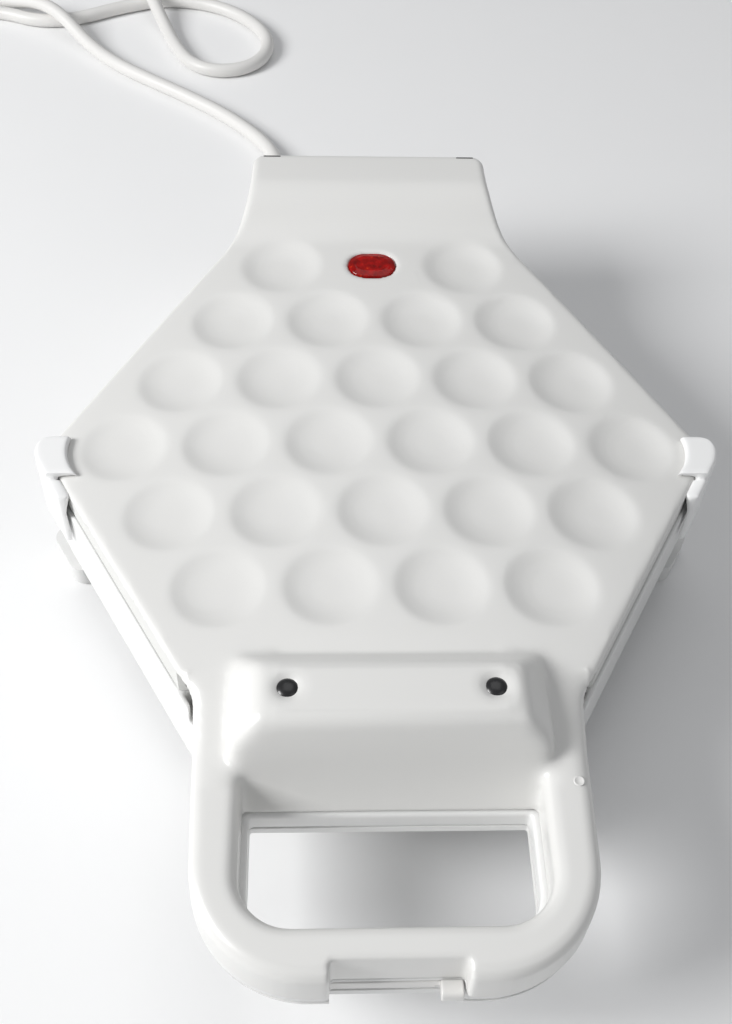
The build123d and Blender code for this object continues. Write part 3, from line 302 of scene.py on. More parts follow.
@dataclass(frozen=True)
class Lens:
    """Clear coloured plastic over a lamp, with a prismatic pattern that breaks up the light; its colour
    holds painted light: patches of deep and bright red as painted light and shade of the prisms, orange
    spots as painted glints, and a faint painted glow of its own.
    """

    name: str
    colour: Colour
    painted_glint: Colour
    roughness: float = 0.07
    bending: float = 1.49
    clearness: float = 0.15
    painted_glow: float = 0.14
    shine: float = 0.3
    painted_shade_share: float = 0.28
    painted_light_scale: float = 330.0
    painted_glint_scale: float = 520.0
    painted_glint_edge: tuple[float, float] = (0.66, 0.86)
    prism_scale: float = 620.0
    prism_depth: float = 0.00007

    def build(self) -> bpy.types.Material:
        """Make the material.

        Returns:
            The material.
        """
        sheet = NodeSheet(self.name)
        shader = sheet.surface()
        shader.inputs["IOR"].default_value = self.bending
        shader.inputs["Transmission Weight"].default_value = self.clearness
        # Painted glow: the window gives off a faint red light of its own.
        shader.inputs["Emission Color"].default_value = (*self.colour, 1)
        shader.inputs["Emission Strength"].default_value = self.painted_glow
        shader.inputs["Specular IOR Level"].default_value = self.shine
        prisms = sheet.add("TexVoronoi")
        prisms.inputs["Scale"].default_value = self.prism_scale
        sheet.link(sheet.place, prisms.inputs["Vector"])
        # Painted light and shade: patches fade between deep and bright red in place of the light that the
        # prisms bend; the same patches also vary the gloss.
        painted_shade_red = tuple(c * self.painted_shade_share for c in self.colour)
        painted_light_and_gloss = sheet.spread(sheet.noise(self.painted_light_scale, 3.0), 0.0, 1.0)
        # body is the red with its painted light and shade.
        body = sheet.shade(painted_light_and_gloss, painted_shade_red, self.colour)
        # Painted glints: small bright orange spots laid over the red.
        painted_glints = sheet.add("MapRange")
        painted_glints.inputs["From Min"].default_value = self.painted_glint_edge[0]
        painted_glints.inputs["From Max"].default_value = self.painted_glint_edge[1]
        sheet.link(sheet.noise(self.painted_glint_scale), painted_glints.inputs["Value"])
        mix = sheet.add("Mix", data_type="RGBA")
        sheet.link(painted_glints.outputs["Result"], mix.inputs["Factor"])
        sheet.link(body, mix.inputs[6])
        mix.inputs[7].default_value = (*self.painted_glint, 1)
        sheet.link(mix.outputs[2], shader.inputs["Base Color"])
        sheet.link(sheet.spread(painted_light_and_gloss, self.roughness, self.roughness * 2),
                   shader.inputs["Roughness"])
        sheet.link(sheet.bump(prisms.outputs["Distance"], self.prism_depth), shader.inputs["Normal"])
        return sheet.material


class Finish(Enum):
    """Every finish on the appliance."""

    LID = Plastic("lid_plastic", (0.79, 0.785, 0.765), 0.30, coat=0.15)
    FRAME = Plastic("frame_plastic", (0.62, 0.61, 0.59), 0.42, grain=1800.0, depth=0.00002)
    BASE = Plastic("base_plastic", (0.82, 0.82, 0.81), 0.32, coat=0.12)
    GUIDE = Plastic("guide_plastic", (0.93, 0.93, 0.925), 0.34)
    LATCH = Plastic("latch_plastic", (0.79, 0.78, 0.76), 0.28, coat=0.2)
    INNER = Plastic("inner_plastic", (0.55, 0.54, 0.50), 0.5, shade=0.08)
    TERMINAL = Plastic("terminal_plastic", (0.72, 0.68, 0.58), 0.45, shade=0.06)
    FOOT = Plastic("foot_rubber", (0.76, 0.76, 0.75), 0.55, grain=2600.0, depth=0.00003)
    CORD = Plastic("cord_sheath", (0.77, 0.76, 0.74), 0.42, grain=2400.0, depth=0.00002)
    PLUG = Plastic("plug_plastic", (0.78, 0.77, 0.75), 0.36)
    BLACK_SCREW = Plastic("blacked_steel", (0.012, 0.012, 0.013), 0.32, coat=0.3)
    # The second colour is the orange of the lamp window's painted glints.
    LENS = Lens("lamp_red", (0.40, 0.002, 0.0005), (0.90, 0.07, 0.005))
    GLOW = Plastic("lamp_glass", (0.75, 0.42, 0.25), 0.12, coat=0.5)
    # Painted shadow: a dark finish laid where only the shade of a slot falls.
    SLOT = Plastic("slot_shadow", (0.10, 0.10, 0.10), 0.7)
    LABEL = Metal("plate_silver", (0.66, 0.67, 0.68), 0.35, stretch=(10, 1, 1))
    PLATE = Coating("plate_coating", (0.030, 0.030, 0.032), (0.16, 0.16, 0.16))
    STEEL = Metal("plain_steel", (0.62, 0.62, 0.62), 0.32)
    SHIELD = Metal("shield_sheet", (0.80, 0.81, 0.82), 0.22, stretch=(14, 1, 1))
    HEATER = Metal("heater_tube", (0.36, 0.35, 0.34), 0.48)
    BRASS = Metal("plug_brass", (0.80, 0.66, 0.40), 0.22)
    PIN = Metal("pin_steel", (0.70, 0.70, 0.71), 0.18, stretch=(12, 1, 1))

    def material(self) -> bpy.types.Material:
        """The finish's material, made once."""
        name = self.value.name
        return bpy.data.materials.get(name) or self.value.build()


def dress(piece: bpy.types.Object, finish: Finish) -> None:
    """Give a piece one finish all over."""
    piece.data.materials.clear()
    piece.data.materials.append(finish.material())


# ---------------------------------------------------------------- mesh helpers
@dataclass(frozen=True)
class Ring:
    """One round section of a tube: where it is, which way it looks and how wide it is."""

    centre: Vector
    ahead: Vector
    radius: float

    def matrix(self) -> Matrix:
        """Placement of a unit circle in this section."""
        turn = self.ahead.to_track_quat("Z", "Y").to_matrix().to_4x4()
        return Matrix.Translation(self.centre) @ turn @ Matrix.Scale(self.radius, 4)


def tube(rings: list[Ring], segments: int = 40) -> bmesh.types.BMesh:
    """Draw a tube through round sections, with both ends closed.

    Args:
        rings: The sections, from one end to the other.
        segments: Corners of each section.

    Returns:
        The mesh under construction.
    """
    mesh = bmesh.new()
    made = bmesh.ops.create_circle(mesh, cap_ends=True, segments=segments, radius=1.0,
                                   matrix=rings[0].matrix())
    verts = made["verts"]
    edges = list({edge for vert in verts for edge in vert.link_edges})
    for before, here in zip(rings, rings[1:]):
        grown = bmesh.ops.extrude_edge_only(mesh, edges=edges)["geom"]
        verts = [item for item in grown if isinstance(item, bmesh.types.BMVert)]
        edges = [item for item in grown if isinstance(item, bmesh.types.BMEdge)]
        step = here.matrix() @ before.matrix().inverted()
        bmesh.ops.transform(mesh, matrix=step, verts=verts)
    bmesh.ops.contextual_create(mesh, geom=edges)
    bmesh.ops.recalc_face_normals(mesh, faces=mesh.faces)
    return mesh


def turned(profile: list[tuple[float, float]], foot: Point, steps: int = 56) -> bmesh.types.BMesh:
    """Turn a profile about an upright axis.

    Args:
        profile: Radius and height of each corner in millimetres, from pole to pole or closed.
        foot: Where the axis stands, in metres, with the height that the profile starts from.
        steps: Facets round the axis.

    Returns:
        The mesh under construction.
    """
    mesh = bmesh.new()
    base = Vector(foot)
    verts = [mesh.verts.new(base + Vector((radius, 0, height)) * MM) for radius, height in profile]
    edges = [mesh.edges.new(pair) for pair in zip(verts, verts[1:])]
    bmesh.ops.spin(mesh, geom=verts + edges, cent=base, axis=(0, 0, 1), angle=math.tau,
                   steps=steps, use_merge=True)
    bmesh.ops.remove_doubles(mesh, verts=mesh.verts, dist=1e-7)
    bmesh.ops.recalc_face_normals(mesh, faces=mesh.faces)
    return mesh


def stadium(levels: list[tuple[float, float]], shift: float, centre: Point,
            segments: int = 66) -> bmesh.types.BMesh:
    """Stack outlines with two round ends on one another.

    Args:
        levels: Radius and height of each outline in millimetres, from the lowest.
        shift: Distance in millimetres from the middle to the centre of a round end.
        centre: Middle of the outlines in metres; its height is where the levels start.
        segments: Corners of each outline.

    Returns:
        The mesh under construction, closed at both ends.
    """
    mesh = bmesh.new()
    base = Vector(centre)
    made = bmesh.ops.create_circle(mesh, cap_ends=True, segments=segments, radius=1.0)
    verts, edges = made["verts"], list(mesh.edges)
    radius_before, shift_before = 1.0, 0.0
    for number, (radius, height) in enumerate(levels):
        if number:
            grown = bmesh.ops.extrude_edge_only(mesh, edges=edges)["geom"]
            verts = [item for item in grown if isinstance(item, bmesh.types.BMVert)]
            edges = [item for item in grown if isinstance(item, bmesh.types.BMEdge)]
        for vert in verts:
            local = (vert.co - base) / MM if number else vert.co.copy()
            side = math.copysign(1.0, local.x)
            way = Vector((local.x - side * shift_before, local.y, 0)) / radius_before
            place = Vector((way.x * radius + side * shift, way.y * radius, height))
            vert.co = base + place * MM
        radius_before, shift_before = radius, shift
    bmesh.ops.contextual_create(mesh, geom=edges)
    bmesh.ops.recalc_face_normals(mesh, faces=mesh.faces)
    return mesh


def finished(mesh: bmesh.types.BMesh, name: str, finish: Finish, body: Body,
             smooth: bool = True) -> bpy.types.Object:
    """Turn a mesh under construction into a piece of the appliance.

    Args:
        mesh: The mesh, which is freed.
        name: The piece's name.
        finish: What it is made of.
        body: The body it moves with.
        smooth: Whether its faces are shaded as one surface.

    Returns:
        The piece.
    """
    data = bpy.data.meshes.new(name)
    for face in mesh.faces:
        face.smooth = smooth
    mesh.to_mesh(data)
    mesh.free()
    piece = bpy.data.objects.new(name, data)
    bpy.context.scene.collection.objects.link(piece)
    dress(piece, finish)
    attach(piece, body.value)
    log.info("%s: %d faces, %s", name, len(data.polygons), finish.value.name)
    return piece


def evaluated(data: bpy.types.Mesh, modifiers: list[tuple[str, dict]]) -> bpy.types.Mesh:
    """Pass a mesh through modifiers.

    Args:
        data: The mesh, which is removed.
        modifiers: Type and settings of each modifier.

    Returns:
        The resulting mesh.
    """
    holder = bpy.data.objects.new("holder", data)
    bpy.context.scene.collection.objects.link(holder)
    for kind, settings in modifiers:
        modifier = holder.modifiers.new(kind.lower(), kind)
        for key, value in settings.items():
            setattr(modifier, key, value)
    graph = bpy.context.evaluated_depsgraph_get()
    result = bpy.data.meshes.new_from_object(holder.evaluated_get(graph))
    bpy.data.objects.remove(holder)
    bpy.data.meshes.remove(data)
    return result


def thinned(mesh: bmesh.types.BMesh, triangles: int) -> bmesh.types.BMesh:
    """Thin a mesh under construction where it has too many triangles.

    Args:
        mesh: The mesh.
        triangles: The most that it may have.

    Returns:
        The same mesh.
    """
    share = triangles / sum(len(face.verts) - 2 for face in mesh.faces)
    if share >= 1:
        return mesh
    data = bpy.data.meshes.new("thick")
    mesh.to_mesh(data)
    mesh.clear()
    thin = evaluated(data, [("TRIANGULATE", {}), ("DECIMATE", {"ratio": share})])
    mesh.from_mesh(thin)
    bpy.data.meshes.remove(thin)
    return mesh


def even_copy(node: str, voxel: float) -> bmesh.types.BMesh:
    """Copy a CAD node into a closed mesh of even faces.

    Args:
        node: The CAD node.
        voxel: Size of a face, in millimetres.

    Returns:
        The copy.
    """
    mesh = bmesh.new()
    mesh.from_mesh(frame["nodes"][node].data)
    bmesh.ops.remove_doubles(mesh, verts=mesh.verts, dist=2e-6)
    data = bpy.data.meshes.new("copy")
    mesh.to_mesh(data)
    mesh.clear()
    even = evaluated(data, [("REMESH", {"mode": "VOXEL", "voxel_size": voxel * MM})])
    mesh.from_mesh(even)
    bpy.data.meshes.remove(even)
    return mesh


def ease(mesh: bmesh.types.BMesh, verts: Iterable[bmesh.types.BMVert], rounds: int) -> None:
    """Even out some vertices towards their neighbours.

    Args:
        mesh: The mesh under construction.
        verts: The vertices.
        rounds: How often they are evened out.
    """
    for _ in range(rounds):
        bmesh.ops.smooth_vert(mesh, verts=verts, factor=0.5, use_axis_x=True,
                              use_axis_y=True, use_axis_z=True)


def joined(parts: Iterable[bmesh.types.BMesh]) -> bmesh.types.BMesh:
    """Join meshes under construction, which are freed.

    Args:
        parts: The meshes.

    Returns:
        One mesh that holds them all.
    """
    whole = bmesh.new()
    for part in parts:
        data = bpy.data.meshes.new("part")
        part.to_mesh(data)
        part.free()
        whole.from_mesh(data)
        bpy.data.meshes.remove(data)
    return whole


def corners(node: str) -> tuple[Vector, Vector]:
    """Lowest and highest corner of a CAD node's box, in metres."""
    low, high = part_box(node)
    return Vector(low), Vector(high)


def search_tree(node: str) -> BVHTree:
    """Make a search tree over the triangles of a CAD node.

    Args:
        node: The CAD node.

    Returns:
        The tree.
    """
    source = frame["nodes"][node].data
    return BVHTree.FromPolygons([vertex.co for vertex in source.vertices],
                                [tuple(face.vertices) for face in source.polygons])


def lid_seat(across: float, along: float) -> tuple[Vector, Vector]:
    """Find where a piece of trim sits on the lid.

    Args:
        across: Its distance to the right of the middle, in metres.
        along: Its place from front to back, in metres.

    Returns:
        The point on the lid's outside, and the way that the outside faces there.
    """
    start = Vector((across, along, corners("lid_shell")[1].z + CLEAR_ABOVE * MM))
    return search_tree("lid_shell").ray_cast(start, DOWN)[:2]


# ---------------------------------------------------------------- mains lead
@dataclass
class MainsLead:
    """The free cord with its sleeve at the base and its two-pin plug."""

    radius: float = 4.0
    length: float = 1.18
    sleeve_start: float = 6.0
    sleeve_length: float = 36.0
    root_radius: float = 7.0
    tip_radius: float = 5.2
    root_length: float = 4.5
    sleeve_ribs: int = 7
    sleeve_rib: tuple[tuple[float, float], ...] = (
        (0.1, 0.9), (0.28, 0.9), (0.4, 0.25), (0.5, 0.05), (0.85, 0.05), (0.97, 0.25))
    grip_ribs: int = 5
    grip_start: float = 24.0
    grip_pitch: float = 2.9
    grip_radius: float = 14.2
    grip_rib: tuple[tuple[float, float], ...] = (
        (0.0, -0.6), (0.15, 0.35), (0.5, 0.75), (1.1, 0.75), (1.45, 0.35), (1.6, -0.6))
    even_over: float = 3.0
    neck: Point = (-41.0, 167.75, 30.0)
    line: list[Vector] = field(default_factory=list)
    rest: tuple[Point, ...] = (
        (-41, 230, 30), (-45, 287, 6), (-53, 311, 4), (-76, 337, 4), (-101, 357, 4),
        (-125, 374, 4), (-146, 390, 4), (-165, 411, 4), (-184, 433, 12.6), (-200, 446, 12.6),
        (-226, 459, 4), (-257, 478, 4), (-293, 514, 4), (-336, 511, 4), (-362, 477, 4),
        (-353, 435, 4), (-316, 414, 4), (-277, 426, 4), (-250, 446, 4), (-224, 448, 4),
        (-200, 437, 4), (-176, 440, 4), (-150, 455, 4), (-122, 465, 4), (-94, 461, 4),
        (-71, 447, 4), (-55, 425, 4), (-54, 404, 4), (-65, 388, 4), (-84, 383, 4),
        (-101, 391, 4), (-111, 410, 4), (-119, 432, 4), (-129, 454, 12.6), (-134, 474, 12.6),
        (-140, 505, 4), (-141, 543, 18.5), (-141, 570, 18.5),
    )

    def cord(self) -> bpy.types.Object:
        """Lay the cord as one smooth curve with its chosen points as control points.

        Returns:
            The cord.
        """
        curve = bpy.data.curves.new("mains_cord", "CURVE")
        curve.dimensions = "3D"
        curve.bevel_depth = self.radius * MM
        curve.bevel_resolution = 6
        curve.resolution_u = 12
        curve.use_fill_caps = True
        spline = curve.splines.new("NURBS")
        places = (self.neck, *self.rest)
        spline.points.add(len(places) - 1)
        for point, place in zip(spline.points, places):
            point.co = (place[0] * MM, place[1] * MM, place[2] * MM, 1)
        spline.order_u = 3
        spline.use_endpoint_u = True
        piece = bpy.data.objects.new("mains_cord", curve)
        bpy.context.scene.collection.objects.link(piece)
        dress(piece, Finish.CORD)
        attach(piece, Body.BASE.value)
        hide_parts("cord")
        return piece

    def read_line(self, cord: bpy.types.Object) -> None:
        """Keep the points of the cord's own spline, for the pieces that lie along it.

        Args:
            cord: The cord.
        """
        bare = cord.data.copy()
        bare.bevel_depth = 0.0
        holder = bpy.data.objects.new("cord_line", bare)
        mesh = bpy.data.meshes.new_from_object(holder)
        self.line = [vertex.co.copy() for vertex in mesh.vertices]
        bpy.data.objects.remove(holder)
        bpy.data.curves.remove(bare)
        bpy.data.meshes.remove(mesh)

    def along(self, distance: float) -> tuple[Vector, Vector]:
        """Find the cord's middle line near the base.

        Args:
            distance: Distance in millimetres along the cord from its inner end.

        Returns:
            The point in metres, and the way the cord runs there.
        """
        left = distance * MM
        for here, there in zip(self.line, self.line[1:]):
            step = there - here
            if left <= step.length:
                return here + step * (left / step.length), step.normalized()
            left -= step.length
        return self.line[-1], (self.line[-1] - self.line[-2]).normalized()

    def smooth_way(self, distance: float) -> Vector:
        """The way the cord runs about a place, evened out over a few millimetres."""
        behind = self.along(max(distance - self.even_over, 0.1))[0]
        return (self.along(distance + self.even_over)[0] - behind).normalized()

    def sleeve(self) -> bpy.types.Object:
        """Model the tapered sleeve with its flexible ribs.

        Returns:
            The sleeve.
        """
        start, end = self.sleeve_start, self.sleeve_start + self.sleeve_length
        root, tip = self.root_radius, self.tip_radius
        sections = [(start - 3, root - 1.4), (start, root - 0.6), (start + 0.5, root),
                    (start + self.root_length - 0.5, root), (start + self.root_length, root - 0.4)]
        pitch = (self.sleeve_length - 8) / self.sleeve_ribs
        for rib in range(self.sleeve_ribs):
            at = start + self.root_length + 0.5 + rib * pitch
            radius = root - (root - tip) * rib / self.sleeve_ribs
            sections += [(at + share * pitch, radius - groove) for share, groove in self.sleeve_rib]
        sections += [(end - 1, tip), (end - 0.2, tip - 0.3), (end, tip - 0.9)]
        rings = [Ring(self.along(distance)[0], self.smooth_way(distance), radius * MM)
                 for distance, radius in sections]
        piece = finished(tube(rings), "cord_sleeve", Finish.CORD, Body.BASE)
        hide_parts("strain_relief")
        return piece

    def grip(self) -> bpy.types.Object:
        """Model the finger ribs round the plug's waist.

        Returns:
            The ribs, as one piece.
        """
        low, high = corners("plug_body")
        middle = (low + high) / 2
        ribs = []
        for rib in range(self.grip_ribs):
            start = low.y / MM + self.grip_start + rib * self.grip_pitch
            rings = [Ring(Vector((middle.x, (start + at) * MM, middle.z)), Vector((0, 1, 0)),
                          (self.grip_radius + proud) * MM) for at, proud in self.grip_rib]
            ribs.append(tube(rings, segments=56))
        piece = finished(joined(ribs), "plug_ribs", Finish.PLUG, Body.BASE)
        return piece

    def build(self) -> None:
        cord = self.cord()
        self.read_line(cord)
        sleeve, ribs = self.sleeve(), self.grip()
        log.info("mains lead: %.2f m", self.length)


# ---------------------------------------------------------------- CAD pieces
@dataclass
class Casing:
    """The pieces that keep their CAD shape, each with its finish."""

    finishes: dict[str, Finish] = field(default_factory=lambda: {
        "lid_shell": Finish.LID, "lid_frame": Finish.FRAME, "base_shell": Finish.BASE,
        "lower_frame": Finish.FRAME, "bottom_cover": Finish.BASE, "handle_pan": Finish.BASE,
        "corner_guide_left": Finish.GUIDE, "corner_guide_right": Finish.GUIDE,
        "latch_slider": Finish.LATCH, "lamp_lens": Finish.LENS, "lamp_holder": Finish.INNER,
        "neon_lamp": Finish.GLOW, "thermal_fuse": Finish.STEEL,
        "platform_screws": Finish.BLACK_SCREW, "neck_screws": Finish.STEEL,
        "upper_plate": Finish.PLATE, "lower_plate": Finish.PLATE,
        "upper_heater": Finish.HEATER, "lower_heater": Finish.HEATER,
        "upper_reflector": Finish.SHIELD, "lower_reflector": Finish.SHIELD,
        "upper_reflector_screws": Finish.STEEL, "lower_reflector_screws": Finish.STEEL,
        "feet": Finish.FOOT, "cover_screws": Finish.STEEL, "handle_screws": Finish.STEEL,
        "frame_screws": Finish.STEEL, "hinge_pins": Finish.PIN, "thermostat": Finish.STEEL,
        "terminal_block": Finish.TERMINAL, "supply_leads": Finish.PLUG,
        "inner_leads": Finish.CORD, "strain_relief": Finish.CORD, "cord": Finish.CORD,
        "plug_body": Finish.PLUG, "plug_pins": Finish.BRASS,
    })

    def build(self) -> None:
        """Dress every CAD piece."""
        for name, piece in frame["nodes"].items():
            dress(piece, self.finishes[name])
            log.info("%s: %s", name, self.finishes[name].value.name)


# ---------------------------------------------------------------- lid moulding
@dataclass
class LidMoulding:
    """The lid's shell with the flowing surface of a moulded part.

    The CAD shell is copied, given an even mesh, and its outer skin is laid onto one smooth
    surface: crowned across, raised over the hinge and pressed in over every baking cavity.
    """

    voxel: float = 0.95
    triangles: int = 190000
    crown_radius: float = 1117.0
    platform_rise: float = 11.5
    hump_rise: float = 9.5
    hump_foot: float = 58.0
    hump_crest: float = 15.5
    field_front: float = 262.0
    dimple_depth: float = 2.5
    dimple_radius: float = 17.0
    dimple_power: float = 2.8
    dimple_knee: float = 0.45
    edge_margin: float = 4.0
    skin: float = 0.7
    skin_rounds: int = 4
    wall_drop: float = 8.0
    deepest_skin: float = 12.0
    deepest_valley: float = 25.0
    steepest_valley: float = 0.1
    clear_above: float = 40.0
    valley_across: tuple[float, float] = (38.0, 68.0)
    valley_along: tuple[float, float] = (318.0, 264.0)
    valley_rounds: int = 26
    foot_across: tuple[float, float] = (0.0, 60.0)
    foot_along: tuple[float, float] = (278.0, 262.0)
    foot_rounds: int = 6
    dish_radius: float = 9.0
    dish_depth: float = 0.8
    dish_level: float = 2.6
    back: float = field(init=False)
    top: float = field(init=False)
    spots: list[Vector] = field(init=False)

    def measure(self) -> None:
        """Take the places of the surface from the CAD node and the record."""
        high = corners("lid_shell")[1] / MM
        self.back, self.top = high.y, high.z - self.platform_rise
        self.spots = []
        for opening in frame["record"]["physics"]["openings"]:
            if opening["name"].startswith("ball_cavity"):
                near, far = (Vector(corner) / MM for corner in opening["box_m"])
                self.spots.append((near + far) / 2)

    def hump(self, y: float) -> float:
        """Tell how far the neck has risen at a place along the lid.

        Args:
            y: The place, in millimetres.

        Returns:
            0 in front of the neck, 1 on its crest.
        """
        share = (y - self.back + self.hump_foot) / (self.hump_foot - self.hump_crest)
        share = min(max(share, 0.0), 1.0)
        return share ** 3 * (share * (share * 6 - 15) + 10)

    def dimple(self, x: float, y: float) -> float:
        """Tell how far the skin is pressed in over the baking cavities.

        Args:
            x: The place across, in millimetres.
            y: The place along, in millimetres.

        Returns:
            The depth in millimetres.
        """
        reach = min(math.hypot(x - spot.x, y - spot.y) for spot in self.spots)
        bowl = self.dimple_depth * (1 - (reach / self.dimple_radius) ** self.dimple_power)
        return (bowl + math.hypot(bowl, self.dimple_knee)) / 2

    def surface(self, x: float, y: float) -> float:
        """Work out the height of the flowing surface.

        Args:
            x: The place across, in millimetres.
            y: The place along, in millimetres.

        Returns:
            The height in millimetres.
        """
        crown = self.top - x * x / (2 * self.crown_radius)
        crest = self.top + self.hump_rise
        rise = self.hump(y)
        return crown * (1 - rise) + crest * rise - self.dimple(x, y)

    def lay_skin(self, mesh: bmesh.types.BMesh, shell: BVHTree) -> list[bmesh.types.BMVert]:
        """Move the outer skin onto the flowing surface.

        Args:
            mesh: The even mesh.
            shell: The CAD shell, for the height that the skin has now.

        Returns:
            The vertices that were moved.
        """
        front, last = self.back - self.field_front, self.back - self.hump_crest

        def height(x: float, y: float) -> float | None:
            """Height of the CAD shell's outside at a place."""
            hit = shell.ray_cast(Vector((x, y, self.top + self.clear_above)) * MM, DOWN)[0]
            return None if hit is None else hit.z / MM

        moved = []
        for vert in mesh.verts:
            x, y, z = vert.co / MM
            if y < front or y > last or z < self.top - self.deepest_skin:
                continue
            here = height(x, y)
            if here is None or z < here - self.skin:
                continue
            side = math.copysign(self.edge_margin, x)
            beyond = height(x + side, y)
            if beyond is None or beyond < self.top - self.wall_drop:
                x -= side
                here = height(x, y)
            vert.co.z += (self.surface(x, y) - here) * MM
            moved.append(vert)
        return moved

    def soften(self, mesh: bmesh.types.BMesh, across: tuple[float, float],
               along: tuple[float, float], rounds: int) -> None:
        """Even out the outer skin in a block on both sides of the lid.

        Args:
            mesh: The even mesh.
            across: Nearest and farthest distance from the middle, in millimetres.
            along: Farthest and nearest distance from the lid's back, in millimetres.
            rounds: How often the skin is evened out.
        """
        mesh.normal_update()
        skin = [vert for vert in mesh.verts
                if vert.normal.z > self.steepest_valley
                and vert.co.z / MM > self.top - self.deepest_valley
                and across[0] <= abs(vert.co.x) / MM <= across[1]
                and along[1] <= self.back - vert.co.y / MM <= along[0]]
        ease(mesh, skin, rounds)

    def press_seats(self, mesh: bmesh.types.BMesh) -> None:
        """Press a shallow dish into the platform round each of its screws.

        Args:
            mesh: The even mesh.
        """
        low, high = (corner / MM for corner in corners("platform_screws"))
        middle, level = (low + high) / 2, high.z - self.dish_level
        across = high.x - middle.x - CAD_SCREW_HEAD_R
        for vert in mesh.verts:
            x, y, z = vert.co / MM
            reach = math.hypot(abs(x - middle.x) - across, y - middle.y) / self.dish_radius
            if z > level and reach < 1:
                vert.co.z -= self.dish_depth * (1 - reach ** 2) ** 2 * MM

    def build(self) -> None:
        """Make the shell in place of its CAD node."""
        self.measure()
        mesh = even_copy("lid_shell", self.voxel)
        ease(mesh, mesh.verts, 1)
        moved = self.lay_skin(mesh, search_tree("lid_shell"))
        ease(mesh, moved, self.skin_rounds)
        self.soften(mesh, self.valley_across, self.valley_along, self.valley_rounds)
        self.soften(mesh, self.foot_across, self.foot_along, self.foot_rounds)
        self.press_seats(mesh)
        log.info("lid skin: %d of %d vertices laid", len(moved), len(mesh.verts))
        piece = finished(thinned(mesh, self.triangles), "lid_moulding", Finish.LID, Body.LID)
        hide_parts("lid_shell")


@dataclass
class SoftMoulding:
    """A moulded piece whose sharp CAD edges are eased, in place of its CAD node."""

    node: str
    finish: Finish
    body: Body
    voxel: float
    rounds: int
    triangles: int = 190000

    def shape(self, mesh: bmesh.types.BMesh) -> None:
        """Leave the copy as it is; a piece that needs more has a class of its own.

        Args:
            mesh: The even copy.
        """

    def build(self) -> None:
        """Make the eased piece, kept inside the CAD node's box."""
        mesh = even_copy(self.node, self.voxel)
        self.shape(mesh)
        ease(mesh, mesh.verts, self.rounds)
        mesh = thinned(mesh, self.triangles)
        low, high = corners(self.node)
        for vert in mesh.verts:
            for axis in range(3):
                vert.co[axis] = min(max(vert.co[axis], low[axis]), high[axis])
        piece = finished(mesh, self.node + "_moulding", self.finish, self.body)
        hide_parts(self.node)


@dataclass
class CornerGuide(SoftMoulding):
    """A corner guide whose post fills the room beside the lid's rim."""

    cap_length: float = 20.0
    post_top: float = 6.0
    raise_by: float = 3.0
    fill: float = 3.2
    fill_low: float = 14.5
    facing: float = 0.3
    corner_radius: float = 8.0

    def shape(self, mesh: bmesh.types.BMesh) -> None:
        """Raise and fill the post and round the cap's outer corner.

        Args:
            mesh: The even copy.
        """
        low, high = (corner / MM for corner in corners(self.node))
        outer = max(abs(low.x), abs(high.x))
        mesh.normal_update()
        post = [vert for vert in mesh.verts if vert.co.y / MM < high.y - self.cap_length]
        for vert in post:
            inward = -vert.normal.x * math.copysign(1, vert.co.x)
            level = (vert.co.z / MM - high.z + self.fill_low) / (self.fill_low - self.post_top)
            if inward > self.facing and level > 0:
                aside = Vector((vert.normal.x, vert.normal.y, 0)).normalized()
                vert.co += aside * self.fill * min(level, 1) * MM
        for vert in post:
            share = (vert.co.z / MM - low.z) / (high.z - self.post_top - low.z)
            vert.co.z += self.raise_by * share * MM
        for vert in mesh.verts:
            aside = abs(vert.co.x) / MM - outer + self.corner_radius
            behind = vert.co.y / MM - high.y + self.corner_radius
            far = math.hypot(aside, behind)
            if aside > 0 and behind > 0 and far > self.corner_radius:
                pull = (1 - self.corner_radius / far) * MM
                vert.co.x -= math.copysign(aside * pull, vert.co.x)
                vert.co.y -= behind * pull


# ---------------------------------------------------------------- modelled trim
@dataclass
class LampWindow:
    """Red window of the indicator lamp, with its sloping rim and the flange under the lid."""

    length: float = 20.6
    width: float = 15.2
    flange: float = 1.9
    flange_height: float = 1.2
    slope: float = 2.6
    fall: float = 0.9

    def build(self) -> None:
        """Make the window in place of its CAD node."""
        low, high = corners("lamp_lens")
        middle = ((low.x + high.x) / 2, (low.y + high.y) / 2, low.z)
        top = (high.z - low.z) / MM
        radius = self.width / 2
        edge, inner = top - self.fall, radius - self.slope
        levels = [(radius + self.flange, 0.0), (radius + self.flange, self.flange_height),
                  (radius, self.flange_height + 0.05), (radius, edge),
                  (radius - 0.25, edge + 0.22), (inner, top - 0.05),
                  (inner - 0.4, top), (inner - 1.6, top)]
        mesh = stadium(levels, (self.length - self.width) / 2, middle)
        piece = finished(mesh, "lamp_window", Finish.LENS, Body.LID, smooth=False)
        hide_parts("lamp_lens")


@dataclass
class PlatformScrews:
    """Two black screws with low domed heads, sunk into the platform."""

    head_radius: float = 4.1
    head_height: float = 2.2
    shank_radius: float = 1.7
    tip: float = 1.2
    dome: tuple[tuple[float, float], ...] = (
        (0.93, 0.0), (1.0, 0.25), (0.985, 0.6), (0.92, 1.05), (0.80, 1.5), (0.62, 1.85),
        (0.38, 2.1), (0.16, 2.19))

    def build(self) -> None:
        """Make both screws as one piece in place of their CAD node."""
        low, high = corners("platform_screws")
        reach = (high.z - low.z) / MM
        under = reach - self.head_height
        profile = [(0, 0), (self.shank_radius * 0.5, 0), (self.shank_radius, self.tip),
                   (self.shank_radius, under),
                   *((self.head_radius * share, under + height) for share, height in self.dome),
                   (0, reach)]
        across = (high.x - low.x) / 2 - CAD_SCREW_HEAD_R * MM
        middle = (low + high) / 2
        both = joined(turned(profile, (middle.x + side * across, middle.y, low.z))
                      for side in (-1, 1))
        piece = finished(both, "black_screws", Finish.BLACK_SCREW, Body.LID)
        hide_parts("platform_screws")


